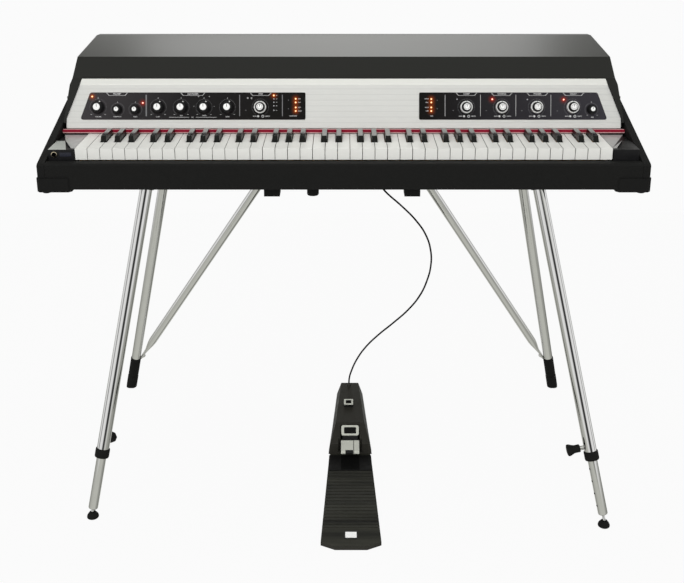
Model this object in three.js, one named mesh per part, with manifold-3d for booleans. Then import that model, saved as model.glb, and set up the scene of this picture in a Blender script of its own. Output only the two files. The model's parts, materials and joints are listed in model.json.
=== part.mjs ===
// Electric stage piano on four tubular legs, with its sustain pedal and pedal cable.
// Millimetres. +X is the player's right, +Y points away from the player, +Z is up.
// While it is built, Y = 0 is the front face of the case and Z = 0 is the floor.
// The finished group is moved so that its origin is on the floor, under the middle of the whole.

import * as THREE from 'three';
import * as BufferGeometryUtils from 'three/addons/utils/BufferGeometryUtils.js';
import Module from 'manifold-3d';

const wasm = await Module();
wasm.setup();

// Driving dimensions of the whole instrument

const caseWidth = 1140;
const caseDepth = 590;
const caseFloorHeight = 676;
const wall = 14;
const boardThickness = 12;
const clearance = 0.3;
const rootIn = 1;
const overrun = 5;

const railHeight = 50;
const railDepth = 24;
const sideTopHeight = 118;
const sideTopStart = 243;
const sideFrontNose = 5;

const naturalCount = 43;
const keyboardInset = 64.75;
const keyGap = 1;
const keyFrontY = 31;
const keyTopHeight = 71;
const keyLipHeight = 21.7;
const keyPivotY = 215;
const keyRearY = 345;

const nameRailLipY = 148;
const nameRailLipHeight = 79.6;
const nameRailFoldY = 174;
const nameRailFoldHeight = 162.5;
const nameRailTopY = 188;
const nameRailTopHeight = 172.4;

const hoodFrontTopY = 215;
const hoodFrontTopHeight = 211;
const hoodCrownY = 372;
const hoodCrownHeight = 229;
const hoodBackHeight = 165;

const legTubeRadius = 12.2;
const rearTubeRadius = 11;
const legTubeWall = 1.5;
const legInnerRadius = 9.5;

const pedalFrontY = -163;

// Looks of the materials

const looks = {
  caseBlack: { color: 0x222222, roughness: 0.55, metalness: 0 },
  hoodBlack: { color: 0x2a2a2a, roughness: 0.35, metalness: 0 },
  brushedAluminium: { color: 0xcfcdc8, roughness: 0.35, metalness: 0.9 },
  panelBlack: { color: 0x2a2a2d, roughness: 0.5, metalness: 0 },
  redFelt: { color: 0x7a1420, roughness: 0.9, metalness: 0 },
  knobBlack: { color: 0x1a1a1b, roughness: 0.5, metalness: 0 },
  knobSilver: { color: 0xc8c8c6, roughness: 0.25, metalness: 0.9 },
  keyWhite: { color: 0xe6e5e0, roughness: 0.35, metalness: 0 },
  keyBlack: { color: 0x141414, roughness: 0.2, metalness: 0 },
  spruce: { color: 0xc9a873, roughness: 0.7, metalness: 0 },
  hammerPlastic: { color: 0xd8d2c2, roughness: 0.5, metalness: 0 },
  steelBar: { color: 0x9c9d9f, roughness: 0.4, metalness: 0.9 },
  damperFelt: { color: 0xb9b3a6, roughness: 0.9, metalness: 0 },
  chromeTube: { color: 0xc4c4c2, roughness: 0.15, metalness: 1 },
  blackRubber: { color: 0x161616, roughness: 0.8, metalness: 0 },
  plywood: { color: 0x8a6a45, roughness: 0.8, metalness: 0 },
  pedalBlack: { color: 0x30302a, roughness: 0.6, metalness: 0 },
};

// Shape helpers

const instrument = new THREE.Group();

function signedVolume(geometry) {
  const p = geometry.attributes.position;
  const index = geometry.index;
  const a = new THREE.Vector3();
  const b = new THREE.Vector3();
  const c = new THREE.Vector3();
  let volume = 0;
  for (let i = 0; i < index.count; i += 3) {
    a.fromBufferAttribute(p, index.getX(i));
    b.fromBufferAttribute(p, index.getX(i + 1));
    c.fromBufferAttribute(p, index.getX(i + 2));
    volume += a.dot(b.cross(c)) / 6;
  }
  return volume;
}

// Merges shared corners, drops collapsed triangles and turns the faces outwards.
function closed(source) {
  const bare = new THREE.BufferGeometry();
  bare.setAttribute('position', source.attributes.position.clone());
  bare.setIndex(source.index);
  const merged = BufferGeometryUtils.mergeVertices(bare);
  const corners = merged.index.array;
  const kept = [];
  for (let i = 0; i < corners.length; i += 3) {
    const [a, b, c] = corners.slice(i, i + 3);
    if (a !== b && b !== c && c !== a) kept.push(a, b, c);
  }
  merged.setIndex(kept);
  if (signedVolume(merged) < 0) {
    for (let i = 0; i < kept.length; i += 3) {
      [kept[i], kept[i + 1]] = [kept[i + 1], kept[i]];
    }
    merged.setIndex(kept);
  }
  return merged;
}

function toManifold(geometry) {
  const g = closed(geometry);
  return new wasm.Manifold(new wasm.Mesh({
    numProp: 3,
    vertProperties: new Float32Array(g.attributes.position.array),
    triVerts: new Uint32Array(g.index.array),
  }));
}

function toGeometry(manifold) {
  const mesh = manifold.getMesh();
  const g = new THREE.BufferGeometry();
  g.setAttribute('position', new THREE.BufferAttribute(new Float32Array(mesh.vertProperties), 3));
  g.setIndex(Array.from(mesh.triVerts));
  return g;
}

function join(...geometries) {
  return toGeometry(geometries.map(toManifold).reduce((all, next) => all.add(next)));
}

function cut(body, ...tools) {
  return toGeometry(tools.map(toManifold).reduce((rest, tool) => rest.subtract(tool), toManifold(body)));
}

function clip(body, ...limits) {
  return toGeometry(limits.map(toManifold).reduce((rest, limit) => rest.intersect(limit), toManifold(body)));
}

function shapeOf(points) {
  return new THREE.Shape(points.map(([x, y]) => new THREE.Vector2(x, y)));
}

// A side outline of [y, z] points, carried across from xLow to xHigh.
function acrossX(points, xLow, xHigh) {
  const g = new THREE.ExtrudeGeometry(shapeOf(points), { depth: xHigh - xLow, bevelEnabled: false });
  g.applyMatrix4(new THREE.Matrix4().set(0, 0, 1, xLow, 1, 0, 0, 0, 0, 1, 0, 0, 0, 0, 0, 1));
  return g;
}

// A front outline of [x, z] points, carried back from yLow to yHigh.
function alongY(points, yLow, yHigh) {
  const g = new THREE.ExtrudeGeometry(shapeOf(points), { depth: yHigh - yLow, bevelEnabled: false });
  g.applyMatrix4(new THREE.Matrix4().set(1, 0, 0, 0, 0, 0, -1, yHigh, 0, 1, 0, 0, 0, 0, 0, 1));
  return g;
}

// A plan outline of [x, y] points, carried up from zLow to zHigh.
function upZ(points, zLow, zHigh) {
  const g = new THREE.ExtrudeGeometry(shapeOf(points), { depth: zHigh - zLow, bevelEnabled: false });
  g.translate(0, 0, zLow);
  return g;
}

function block(xLow, xHigh, yLow, yHigh, zLow, zHigh) {
  const g = new THREE.BoxGeometry(xHigh - xLow, yHigh - yLow, zHigh - zLow);
  g.translate((xLow + xHigh) / 2, (yLow + yHigh) / 2, (zLow + zHigh) / 2);
  return g;
}

// A turned piece: [radius, height] points, spun about +Z.
function turned(points, steps) {
  const g = new THREE.LatheGeometry(points.map(([r, h]) => new THREE.Vector2(r, h)), steps);
  g.rotateX(Math.PI / 2);
  return g;
}

// A turned tube, open at both ends.
function pipe(radius, bore, low, high, steps) {
  return turned([[bore, low], [radius, low], [radius, high], [bore, high], [bore, low]], steps);
}

// Stands a piece that was made along +Z on a point, leaning along a direction.
function lean(geometry, point, direction) {
  const turn = new THREE.Quaternion().setFromUnitVectors(new THREE.Vector3(0, 0, 1), direction);
  geometry.applyQuaternion(turn);
  geometry.translate(point.x, point.y, point.z);
  return geometry;
}

function mirrored(geometry) {
  const g = closed(geometry).clone();
  g.scale(-1, 1, 1);
  return closed(g);
}

// A rectangle in plan or in front view, with its corners cut off.
function chamfered(xLow, xHigh, yLow, yHigh, c) {
  return [
    [xLow + c, yLow], [xHigh - c, yLow], [xHigh, yLow + c], [xHigh, yHigh - c],
    [xHigh - c, yHigh], [xLow + c, yHigh], [xLow, yHigh - c], [xLow, yLow + c],
  ];
}

// A closed skin through outlines of equal point counts, capped at both ends.
function loft(outlines) {
  const sides = outlines[0].length;
  const positions = outlines.flat(2);
  const index = [];
  for (let i = 0; i + 1 < outlines.length; i += 1) {
    for (let j = 0; j < sides; j += 1) {
      const a = i * sides + j;
      const b = i * sides + (j + 1) % sides;
      index.push(a, b, b + sides, a, b + sides, a + sides);
    }
  }
  const last = (outlines.length - 1) * sides;
  for (let j = 1; j + 1 < sides; j += 1) {
    index.push(0, j + 1, j);
    index.push(last, last + j, last + j + 1);
  }
  const g = new THREE.BufferGeometry();
  g.setAttribute('position', new THREE.BufferAttribute(new Float32Array(positions), 3));
  g.setIndex(index);
  return g;
}

const blend = (low, high, share) => low + (high - low) * share;

function piece(name, geometry, look) {
  const mesh = new THREE.Mesh(closed(geometry), new THREE.MeshStandardMaterial(look));
  mesh.name = name;
  instrument.add(mesh);
  return mesh;
}

// Case: a black box of board walls, closed below by a plywood board

const halfWidth = caseWidth / 2;
const innerHalf = halfWidth - wall;
const naturalPitch = (caseWidth - keyboardInset * 2) / naturalCount;
const keyboardHalf = naturalCount * naturalPitch / 2;
const base = caseFloorHeight;
const noseChamfer = 3;

// A place across the case, as a share of half its width; the player's left is negative.
const across = (share) => share * halfWidth;

// The side walls rise in a straight line from the front rail to the hood's seat.
const sideSlope = (sideTopHeight - railHeight) / (sideTopStart - sideFrontNose);
const sideTopAt = (y) => base + railHeight + (y - sideFrontNose) * sideSlope;

const sideOutline = [
  [0, base], [caseDepth, base], [caseDepth, base + sideTopHeight], [sideTopStart, base + sideTopHeight],
  [sideFrontNose, base + railHeight], [0, base + railHeight - noseChamfer],
];
piece('side_panel_right', acrossX(sideOutline, innerHalf, halfWidth), looks.caseBlack);
piece('side_panel_left', acrossX(sideOutline, -halfWidth, -innerHalf), looks.caseBlack);

const betweenWalls = innerHalf - clearance;
const boardFront = railDepth + clearance;
const boardBack = caseDepth - wall - clearance;
const boardTop = base + boardThickness + clearance;

// Corner protectors: moulded cups round the four lower corners, each with a round foot
// They are screwed to the front rail and the back panel, and are made in one with them.

const protectorReach = 62;
const protectorHeight = 22.4;
const protectorFloor = 4.5;
const protectorSkin = 3;
const protectorChamfer = 6;
const bumperRadius = 9.5;
const bumperDrop = 4.3;
const bumperInset = 12;

function cornerProtector() {
  const low = base - protectorFloor;
  const high = base + protectorHeight;
  const inner = halfWidth - protectorReach;
  const outer = upZ(
    chamfered(inner, halfWidth + protectorSkin, -protectorSkin, protectorReach, protectorChamfer), low, high,
  );
  const railSeat = block(inner - overrun, halfWidth + clearance, rootIn, protectorReach + overrun,
    base - clearance, high + overrun);
  const sideSeat = block(betweenWalls, halfWidth + clearance, -clearance, protectorReach + overrun,
    base - clearance, high + overrun);
  const bumper = turned([
    [0, low - bumperDrop], [bumperRadius - bumperDrop / 2, low - bumperDrop],
    [bumperRadius, low - bumperDrop / 2], [bumperRadius, low + rootIn], [0, low + rootIn],
  ], 12);
  bumper.translate(halfWidth - bumperInset, bumperInset, 0);
  return join(cut(outer, railSeat, sideSeat), bumper);
}
const frontCorner = cornerProtector();
const rearCorner = closed(frontCorner).clone();
rearCorner.scale(1, -1, 1);
rearCorner.translate(0, caseDepth, 0);

const frontRailOutline = [
  [0, base], [railDepth, base], [railDepth, base + railHeight - noseChamfer],
  [railDepth - noseChamfer, base + railHeight], [noseChamfer, base + railHeight],
  [0, base + railHeight - noseChamfer],
];
const frontRail = acrossX(frontRailOutline, -betweenWalls, betweenWalls);
piece('front_rail', join(frontRail, frontCorner, mirrored(frontCorner)), looks.caseBlack);

const backPanel = block(
  -betweenWalls, betweenWalls, caseDepth - wall, caseDepth, base, base + sideTopHeight,
);
piece('back_panel', join(backPanel, rearCorner, mirrored(rearCorner)), looks.caseBlack);

// Name rail: one bent aluminium sheet that leans back over the keys, with tapered ends

const nameRailSheet = 3;
const nameRailInset = 20.2;
const nameRailFoldInset = 46.4;
const nameRailTopInset = 48.4;
const nameRailTaperStart = 98.7;
const nameRailHalf = halfWidth - nameRailInset;
const nameRailFoldHalf = halfWidth - nameRailFoldInset;
const nameRailTopHalf = halfWidth - nameRailTopInset;

const lip = new THREE.Vector2(nameRailLipY, base + nameRailLipHeight);
const fold = new THREE.Vector2(nameRailFoldY, base + nameRailFoldHeight);
const railTop = new THREE.Vector2(nameRailTopY, base + nameRailTopHeight);
const panelUp = fold.clone().sub(lip).normalize();
const panelOut = new THREE.Vector2(-panelUp.y, panelUp.x);
const ledge = railTop.clone().sub(fold).normalize();
const ledgeOut = new THREE.Vector2(-ledge.y, ledge.x);

// The sheet's hidden face at the fold, where the two inner planes meet.
const mitre = panelOut.clone().add(ledgeOut).normalize();
const mitreDepth = nameRailSheet / mitre.dot(panelOut);
const sheetOutline = [
  lip.toArray(), lip.clone().addScaledVector(panelOut, -nameRailSheet).toArray(),
  fold.clone().addScaledVector(mitre, -mitreDepth).toArray(),
  railTop.clone().addScaledVector(ledgeOut, -nameRailSheet).toArray(),
  railTop.toArray(), fold.toArray(),
];

// Front outline of the rail's ends; the hood's inner faces follow it with a clearance.
function railEnds(extra, low, high) {
  const topSlope = (nameRailFoldHalf - nameRailTopHalf) / (nameRailTopHeight - nameRailFoldHeight);
  const highHalf = nameRailTopHalf - (high - nameRailTopHeight) * topSlope + extra;
  return [
    [-nameRailHalf - extra, base + low], [nameRailHalf + extra, base + low],
    [nameRailHalf + extra, base + nameRailTaperStart], [nameRailFoldHalf + extra, base + nameRailFoldHeight],
    [highHalf, base + high], [-highHalf, base + high],
    [-nameRailFoldHalf - extra, base + nameRailFoldHeight],
    [-nameRailHalf - extra, base + nameRailTaperStart],
  ];
}
const railLow = nameRailLipHeight - nameRailSheet - overrun;
const railHigh = nameRailTopHeight + overrun;
const nameRail = clip(
  acrossX(sheetOutline, -halfWidth, halfWidth),
  alongY(railEnds(0, railLow, railHigh), nameRailLipY - overrun, nameRailTopY + overrun),
);
piece('name_rail', nameRail, looks.brushedAluminium);

// Hood: an arched shell whose two thick ends lean inwards and flank the name rail

const hoodShell = 8;
const hoodEndProud = 4;
const hoodEndStartY = 152;
const hoodTopInset = 36;
const hoodSeatInset = 20;
const hoodTopHalf = halfWidth - hoodTopInset;
const hoodSeatHalf = halfWidth - hoodSeatInset;
const hoodRim = 5;
const hoodShoulderY = 572;
const hoodShoulderHeight = 190;
const hoodFallShare = 0.27;
const hoodBackShare = 0.4;
const hoodSeat = sideTopHeight + clearance;

const hoodTaper = (hoodSeatHalf - hoodTopHalf) / (hoodFrontTopHeight - sideTopHeight);
const hoodLean = hoodCrownHeight + overrun;
const hoodHalfAt = (height) => hoodSeatHalf - (height - sideTopHeight) * hoodTaper;
const hoodEnds = [
  [-hoodHalfAt(railHeight), base + railHeight], [hoodHalfAt(railHeight), base + railHeight],
  [hoodHalfAt(hoodLean), base + hoodLean], [-hoodHalfAt(hoodLean), base + hoodLean],
];

// The top rises to the crown, then falls in an even curve over a shoulder to the upright back.
function hoodCurve(inset) {
  const frontEdge = new THREE.Vector2(hoodFrontTopY, base + hoodFrontTopHeight);
  const crown = new THREE.Vector2(hoodCrownY, base + hoodCrownHeight);
  const shoulder = new THREE.Vector2(hoodShoulderY, base + hoodShoulderHeight);
  const back = new THREE.Vector2(caseDepth, base + hoodBackHeight);
  const rise = new THREE.SplineCurve([frontEdge, crown]).getPoints(2);
  const fall = new THREE.QuadraticBezierCurve(
    crown, new THREE.Vector2(blend(crown.x, shoulder.x, hoodFallShare), crown.y), shoulder,
  ).getPoints(4);
  const round = new THREE.QuadraticBezierCurve(
    shoulder, new THREE.Vector2(caseDepth, blend(shoulder.y, back.y, hoodBackShare)), back,
  ).getPoints(3);
  return rise.concat(fall.slice(1), round.slice(1)).map((p) => {
    const depthShare = (p.x - hoodFrontTopY) / (caseDepth - hoodFrontTopY);
    return [p.x + inset * (1 - 2 * depthShare), p.y - inset];
  });
}

const frontFace = new THREE.Vector2(
  hoodFrontTopY - nameRailTopY, hoodFrontTopHeight - nameRailTopHeight,
).normalize();
const frontInward = new THREE.Vector2(frontFace.y, -frontFace.x);
const endFold = fold.clone().addScaledVector(panelOut, hoodEndProud);
const endLipY = hoodEndStartY - hoodEndProud;
const endLip = new THREE.Vector2(endLipY, sideTopAt(endLipY) + clearance);
const hoodOutline = [
  endLip.toArray(), [sideTopStart, base + hoodSeat], [caseDepth, base + hoodSeat],
  ...hoodCurve(0).reverse(), [nameRailTopY, base + nameRailTopHeight + clearance], endFold.toArray(),
];
const cavitySill = base + nameRailTopHeight + clearance * 2;
const wallFoot = railTop.clone().addScaledVector(frontInward, hoodShell);
wallFoot.addScaledVector(frontFace, (cavitySill - wallFoot.y) / frontFace.y);
const cavityTop = hoodCurve(hoodShell);
const cavityOutline = [
  [hoodEndStartY - caseDepth / 2, base + railHeight], [caseDepth - hoodShell, base + railHeight],
  ...cavityTop.reverse(), wallFoot.toArray(), [hoodEndStartY - caseDepth / 2, cavitySill],
];
// A rim along the lower edge carries the hood on the side walls.
const rimLow = base + hoodSeat;
const rim = block(-halfWidth, halfWidth, sideTopStart, caseDepth, rimLow, rimLow + hoodRim);
const hoodBody = clip(acrossX(hoodOutline, -halfWidth, halfWidth), alongY(hoodEnds, 0, caseDepth));
const hoodBlank = join(hoodBody, rim);
const hoodCavity = clip(
  acrossX(cavityOutline, -halfWidth, halfWidth),
  alongY(
    railEnds(clearance * 2, railHeight - overrun, hoodCrownHeight + overrun),
    hoodEndStartY - caseDepth, caseDepth,
  ),
);
piece('hood', cut(hoodBlank, hoodCavity), looks.hoodBlack);

// Control panels: two black plates on the name rail, in the rail's own plane

const plateThickness = 1;
const plateLow = 17.6;
const plateHigh = 71.5;
const plateLowInset = 47.6;
const plateHighInset = 67.6;
const plateOuterLow = halfWidth - plateLowInset;
const plateOuterHigh = halfWidth - plateHighInset;
const leftPlateInner = across(0.1332);
const rightPlateInner = across(0.2618);
const plateChamfer = 3;

// The rail's plane: x along it, v up it from the lip, out square to it.
const railPlane = new THREE.Matrix4().makeBasis(
  new THREE.Vector3(1, 0, 0), new THREE.Vector3(0, panelUp.x, panelUp.y),
  new THREE.Vector3(0, panelOut.x, panelOut.y),
).setPosition(0, lip.x, lip.y);

function onRail(geometry, x, v, out) {
  return geometry.translate(x, v, out).applyMatrix4(railPlane);
}

function controlPlate(innerX) {
  const c = plateChamfer;
  return onRail(upZ([
    [innerX + c, plateLow], [plateOuterLow - c, plateLow], [plateOuterLow - c / 2, plateLow + c],
    [plateOuterHigh + c / 2, plateHigh - c], [plateOuterHigh - c, plateHigh], [innerX + c, plateHigh],
    [innerX, plateHigh - c], [innerX, plateLow + c],
  ], 0, plateThickness), 0, 0, clearance);
}
const plateFace = clearance + plateThickness;

// Indicator lamps: small domes set into the plates and made in one with them

const lampRadius = 1.6;
const lampRise = 1.2;
const leftLamps = [
  [-0.8742, 63.4], [-0.6984, 50.7],
  [-0.2432, 65.5], [-0.2432, 58.6], [-0.2432, 52.1], [-0.2432, 45], [-0.2432, 36],
  [-0.1672, 58.8], [-0.1672, 51.7], [-0.1672, 41.8], [-0.1672, 34.7],
];
const rightLamps = [
  [0.304, 58.4], [0.304, 51.7], [0.304, 41.8], [0.304, 34.7],
  [0.3937, 58], [0.5158, 58], [0.6379, 57.6], [0.764, 57.2],
];
const lampProfile = [
  [0, -plateThickness / 2], [lampRadius, -plateThickness / 2], [lampRadius / 2, lampRise], [0, lampRise],
];
const lampAt = ([share, v]) => onRail(turned(lampProfile, 5), across(share), v, plateFace);
piece('control_panel_left', join(mirrored(controlPlate(leftPlateInner)), ...leftLamps.map(lampAt)),
  looks.panelBlack);
piece('control_panel_right', join(controlPlate(rightPlateInner), ...rightLamps.map(lampAt)),
  looks.panelBlack);

// Knobs: a knurled black body with a turned cap; the five dual controls are a ring round a knob

const knobRow = 42.2;
const smallKnobRow = 37.8;
const knobHeight = 15;
const knobSteps = 12;
const knobSeat = plateFace + clearance;

function knobProfile(radius, capRadius, height) {
  const capRise = height * 0.08;
  const skirt = radius * 0.92;
  return [
    [0, 0], [radius, 0], [skirt, height * 0.75], [capRadius, height - capRise],
    [capRadius * 0.95, height], [0, height],
  ];
}

const singleKnobs = [
  ['volume_knob', -0.8539, knobRow, 13.2, 7.3],
  ['preamp_knob_inner', -0.7863, smallKnobRow, 9.6, 5.2],
  ['preamp_knob_outer', -0.7244, smallKnobRow, 9.6, 5.2],
  ['tone_knob_1', -0.6453, knobRow, 12.8, 7.1],
  ['tone_knob_2', -0.5653, knobRow, 12.8, 7.1],
  ['tone_knob_3', -0.4858, knobRow, 12.8, 7.1],
  ['tone_knob_4', -0.4044, knobRow, 12.8, 7.1],
  ['mix_knob', 0.8605, smallKnobRow, 9.6, 5.2],
];
for (const [name, share, v, radius, capRadius] of singleKnobs) {
  const knob = turned(knobProfile(radius, capRadius, knobHeight), knobSteps);
  piece(name, onRail(knob, across(share), v, knobSeat), looks.knobBlack);
}

const dualRingRadius = 13;
const dualRingBore = 9.4;
const dualRingHeight = 9;
const dualCapRadius = 8.8;
const dualCapHeight = 17;
const dualPlaces = [
  ['drive', -0.2904], ['rate_1', 0.4253], ['rate_2', 0.5481], ['rate_3', 0.6697], ['rate_4', 0.7946],
];
for (const [name, share] of dualPlaces) {
  const x = across(share);
  const ringEdge = dualRingHeight * 0.15;
  const ring = turned([
    [dualRingBore, 0], [dualRingRadius, 0], [dualRingRadius, dualRingHeight - ringEdge],
    [dualRingRadius - ringEdge, dualRingHeight], [dualRingBore, dualRingHeight], [dualRingBore, 0],
  ], knobSteps);
  piece(`${name}_ring`, onRail(ring, x, knobRow, knobSeat), looks.knobSilver);
  const cap = turned(knobProfile(dualCapRadius, dualCapRadius * 0.75, dualCapHeight), knobSteps);
  piece(`${name}_knob`, onRail(cap, x, knobRow, knobSeat), looks.knobSilver);
}

// Felt strip behind the keys

const feltFront = 139;
const feltBack = nameRailLipY - clearance * 2;
const feltTop = base + nameRailLipHeight - clearance;
const feltHeight = 7;
piece('felt_strip', block(-betweenWalls, betweenWalls, feltFront, feltBack, feltTop - feltHeight, feltTop),
  looks.redFelt);

// Keys: each one a single lever that rocks on the balance rail
// A natural's tail is cut back on each side where a sharp passes it.

const sharpWidth = 10.8;
const sharpTopWidth = 9.2;
const sharpRise = 12;
const sharpSetback = 46;
const sharpStartY = keyFrontY + sharpSetback;
const sharpEndY = 137.5;
const sharpFrontSlope = 4;
const sharpSideGap = 1.4;
const keyPlasticBackY = 150;
const leverHeight = 15.7;
const lettersPerOctave = 7;
const firstLetter = 2;
const sharpOffsets = { 0: -2.2, 1: 2.2, 3: -3, 4: 0, 5: 3 };
const zoneNames = ['bass', 'middle', 'treble'];
const naturalsPerZone = 14;
const rodSize = 3.2;
const rodRoom = 0.5;

const keyTop = base + keyTopHeight;
const keyBottom = keyTop - keyLipHeight;
const naturalLeverTop = keyBottom + leverHeight;
const sharpLeverBottom = keyBottom + rodSize + rodRoom;
const highRodBottom = naturalLeverTop + rodRoom;
const sharpLeverTop = highRodBottom + rodSize + rodRoom;

const letterOf = (i) => (i + firstLetter) % lettersPerOctave;
const naturalLeft = (i) => -keyboardHalf + i * naturalPitch;
const hasSharpAfter = (i) => i >= 0 && i + 1 < naturalCount && letterOf(i) in sharpOffsets;
const sharpCentre = (i) => naturalLeft(i + 1) + sharpOffsets[letterOf(i)];
const zoneOf = (i) => Math.min(Math.floor(i / naturalsPerZone), zoneNames.length - 1);

// The plan outline of a natural, trimmed by its side outline: lip, playing surface, then the lever.
const naturalSide = [
  [keyFrontY, keyBottom], [keyRearY, keyBottom], [keyRearY, naturalLeverTop],
  [keyPlasticBackY, naturalLeverTop], [keyPlasticBackY, keyTop], [keyFrontY, keyTop],
];

function naturalKey(i) {
  const left = naturalLeft(i) + keyGap / 2;
  const right = naturalLeft(i + 1) - keyGap / 2;
  const notch = sharpWidth / 2 + sharpSideGap;
  const tailLeft = hasSharpAfter(i - 1) ? sharpCentre(i - 1) + notch : left;
  const tailRight = hasSharpAfter(i) ? sharpCentre(i) - notch : right;
  const notchY = sharpStartY - sharpSideGap;
  const far = keyRearY + overrun;
  const outline = [
    [left, 0], [right, 0], [right, notchY], [tailRight, notchY],
    [tailRight, far], [tailLeft, far], [tailLeft, notchY], [left, notchY],
  ].filter((p, n, all) => p[0] !== all[(n + 1) % all.length][0] || p[1] !== all[(n + 1) % all.length][1]);
  const plan = upZ(outline, base, keyTop + overrun);
  const solid = clip(plan, acrossX(naturalSide, left, right));
  return { x: (tailLeft + tailRight) / 2, cam: naturalLeverTop, solid };
}

// A sharp's side outline, with its playing part drawn in towards the top.
const sharpTop = keyTop + sharpRise;
const sharpSide = [
  [sharpStartY, sharpLeverBottom], [keyRearY, sharpLeverBottom], [keyRearY, sharpLeverTop],
  [sharpEndY, sharpLeverTop], [sharpEndY, sharpTop], [sharpStartY + sharpFrontSlope, sharpTop],
  [sharpStartY, keyTop],
];

function sharpKey(i) {
  const x = sharpCentre(i);
  const half = sharpWidth / 2;
  const topHalf = sharpTopWidth / 2;
  const section = [
    [x - half, base], [x + half, base], [x + half, keyTop], [x + topHalf, sharpTop],
    [x - topHalf, sharpTop], [x - half, keyTop],
  ];
  const lengthwise = acrossX(sharpSide, x - sharpWidth, x + sharpWidth);
  const solid = clip(lengthwise, alongY(section, 0, keyRearY + overrun));
  return { x, cam: sharpLeverTop, solid };
}

const zones = zoneNames.map(() => ({ naturals: [], sharps: [] }));
for (let i = 0; i < naturalCount; i += 1) {
  const zone = zones[zoneOf(i)];
  zone.naturals.push(naturalKey(i));
  if (hasSharpAfter(i)) zone.sharps.push(sharpKey(i));
}
const byPlace = (keys) => [...keys].sort((a, b) => a.x - b.x);
const allKeys = byPlace(zones.flatMap((zone) => [...zone.naturals, ...zone.sharps]));

// The keys of a bank rock on two thin balance rods: the naturals' runs under the sharps' levers,
// and the sharps' runs over the naturals' levers.
function keyBank(keys, rodBottom) {
  const rod = block(keys[0].x, keys[keys.length - 1].x, keyPivotY - rodSize / 2, keyPivotY + rodSize / 2,
    rodBottom, rodBottom + rodSize);
  return join(rod, ...keys.map((key) => key.solid));
}

// Action frame: the rails under the keys, and the hammer rail on its two posts

const hammerPivotY = 300;
const hammerPivotHeight = 92;
const buttRadius = 6;
const frontRailY = 45;
const frontRailTop = 38;
const railBreadth = 24;
const balanceRidge = 2;
const balanceShoulder = 4;
const rearRailY = 324;
const hammerRailDepth = 12;
const hammerRailHeight = 16;
const actionHalf = keyboardHalf + clearance * 2;
const actionEnd = 12;
const stretcherHeight = 14;
const stretcherShares = [-0.66, 0, 0.66];

const railCrown = keyBottom - clearance;
const pivotSide = railBreadth / 2;
const balanceRail = acrossX([
  [keyPivotY - pivotSide, boardTop], [keyPivotY + pivotSide, boardTop],
  [keyPivotY + pivotSide, railCrown - balanceShoulder], [keyPivotY + balanceRidge, railCrown],
  [keyPivotY - balanceRidge, railCrown], [keyPivotY - pivotSide, railCrown - balanceShoulder],
], -actionHalf, actionHalf);
const hammerRailBack = hammerPivotY - buttRadius - clearance;
const hammerRailFront = hammerRailBack - hammerRailDepth;
const hammerRailLow = base + hammerPivotHeight - hammerRailHeight / 2;
const hammerRail = block(-actionHalf - actionEnd, actionHalf + actionEnd, hammerRailFront, hammerRailBack,
  hammerRailLow, hammerRailLow + hammerRailHeight);
const railPost = block(actionHalf, actionHalf + actionEnd, hammerRailFront, hammerRailBack,
  boardTop, hammerRailLow + hammerRailHeight / 2);
const endCleat = block(actionHalf - rootIn, actionHalf + actionEnd, keyPivotY - pivotSide, hammerRailBack,
  boardTop, boardTop + stretcherHeight);
const stretchers = stretcherShares.map((share) => block(
  share * actionHalf - railBreadth / 2, share * actionHalf + railBreadth / 2,
  frontRailY, rearRailY + railBreadth, boardTop, boardTop + stretcherHeight,
));
piece('action_frame', join(
  block(-actionHalf, actionHalf, frontRailY, frontRailY + railBreadth, boardTop, base + frontRailTop),
  balanceRail,
  block(-actionHalf, actionHalf, rearRailY, rearRailY + railBreadth, boardTop, railCrown),
  hammerRail, railPost, mirrored(railPost), endCleat, mirrored(endCleat), ...stretchers,
), looks.spruce);

// Hammers: a butt that pivots at the hammer rail, a cam on the key's end, and a head under the fork

const hammerWidth = 6.4;
const camAt = 14;
const camTip = 3;
const shankDrop = 8;
const headFront = 79;
const headBack = 89;
const headRise = 20;
const rodShare = 0.2;

// The outline runs from the butt down to the cam, back along the shank, and up round the head.
function hammerOutline(cam) {
  const camDrop = base + hammerPivotHeight - cam - clearance;
  return [
    [-buttRadius, 0], [camAt, -camDrop], [camAt + camTip, -camDrop], [headBack, -shankDrop],
    [headBack, headRise], [headFront, headRise],
  ].map(([y, z]) => [hammerPivotY + y, base + hammerPivotHeight + z]);
}

// The hammers of a bank hang on one hinge rod, which fills the corner of their butts.
function hammerBank(keys) {
  const highCam = Math.max(...keys.map((key) => key.cam));
  const outline = hammerOutline(highCam);
  const partWay = (corner) => [
    blend(outline[0][0], corner[0], rodShare), blend(outline[0][1], corner[1], rodShare),
  ];
  const corner = [outline[0], partWay(outline[1]), partWay(outline[outline.length - 1])];
  const rod = acrossX(corner, keys[0].x, keys[keys.length - 1].x);
  const hammers = keys.map((key) => acrossX(
    hammerOutline(key.cam), key.x - hammerWidth / 2, key.x + hammerWidth / 2,
  ));
  return join(rod, ...hammers);
}

zones.forEach((zone, n) => {
  piece(`natural_keys_${zoneNames[n]}`, keyBank(zone.naturals, keyBottom), looks.keyWhite);
  piece(`sharp_keys_${zoneNames[n]}`, keyBank(zone.sharps, highRodBottom), looks.keyBlack);
  piece(`hammers_${zoneNames[n]}`, hammerBank(byPlace([...zone.naturals, ...zone.sharps])),
    looks.hammerPlastic);
});

// Tone bars: one steel fork for each note, clamped at the back and struck from below
// The forks grow shorter and the pickups move back from the lowest note to the highest.

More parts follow.
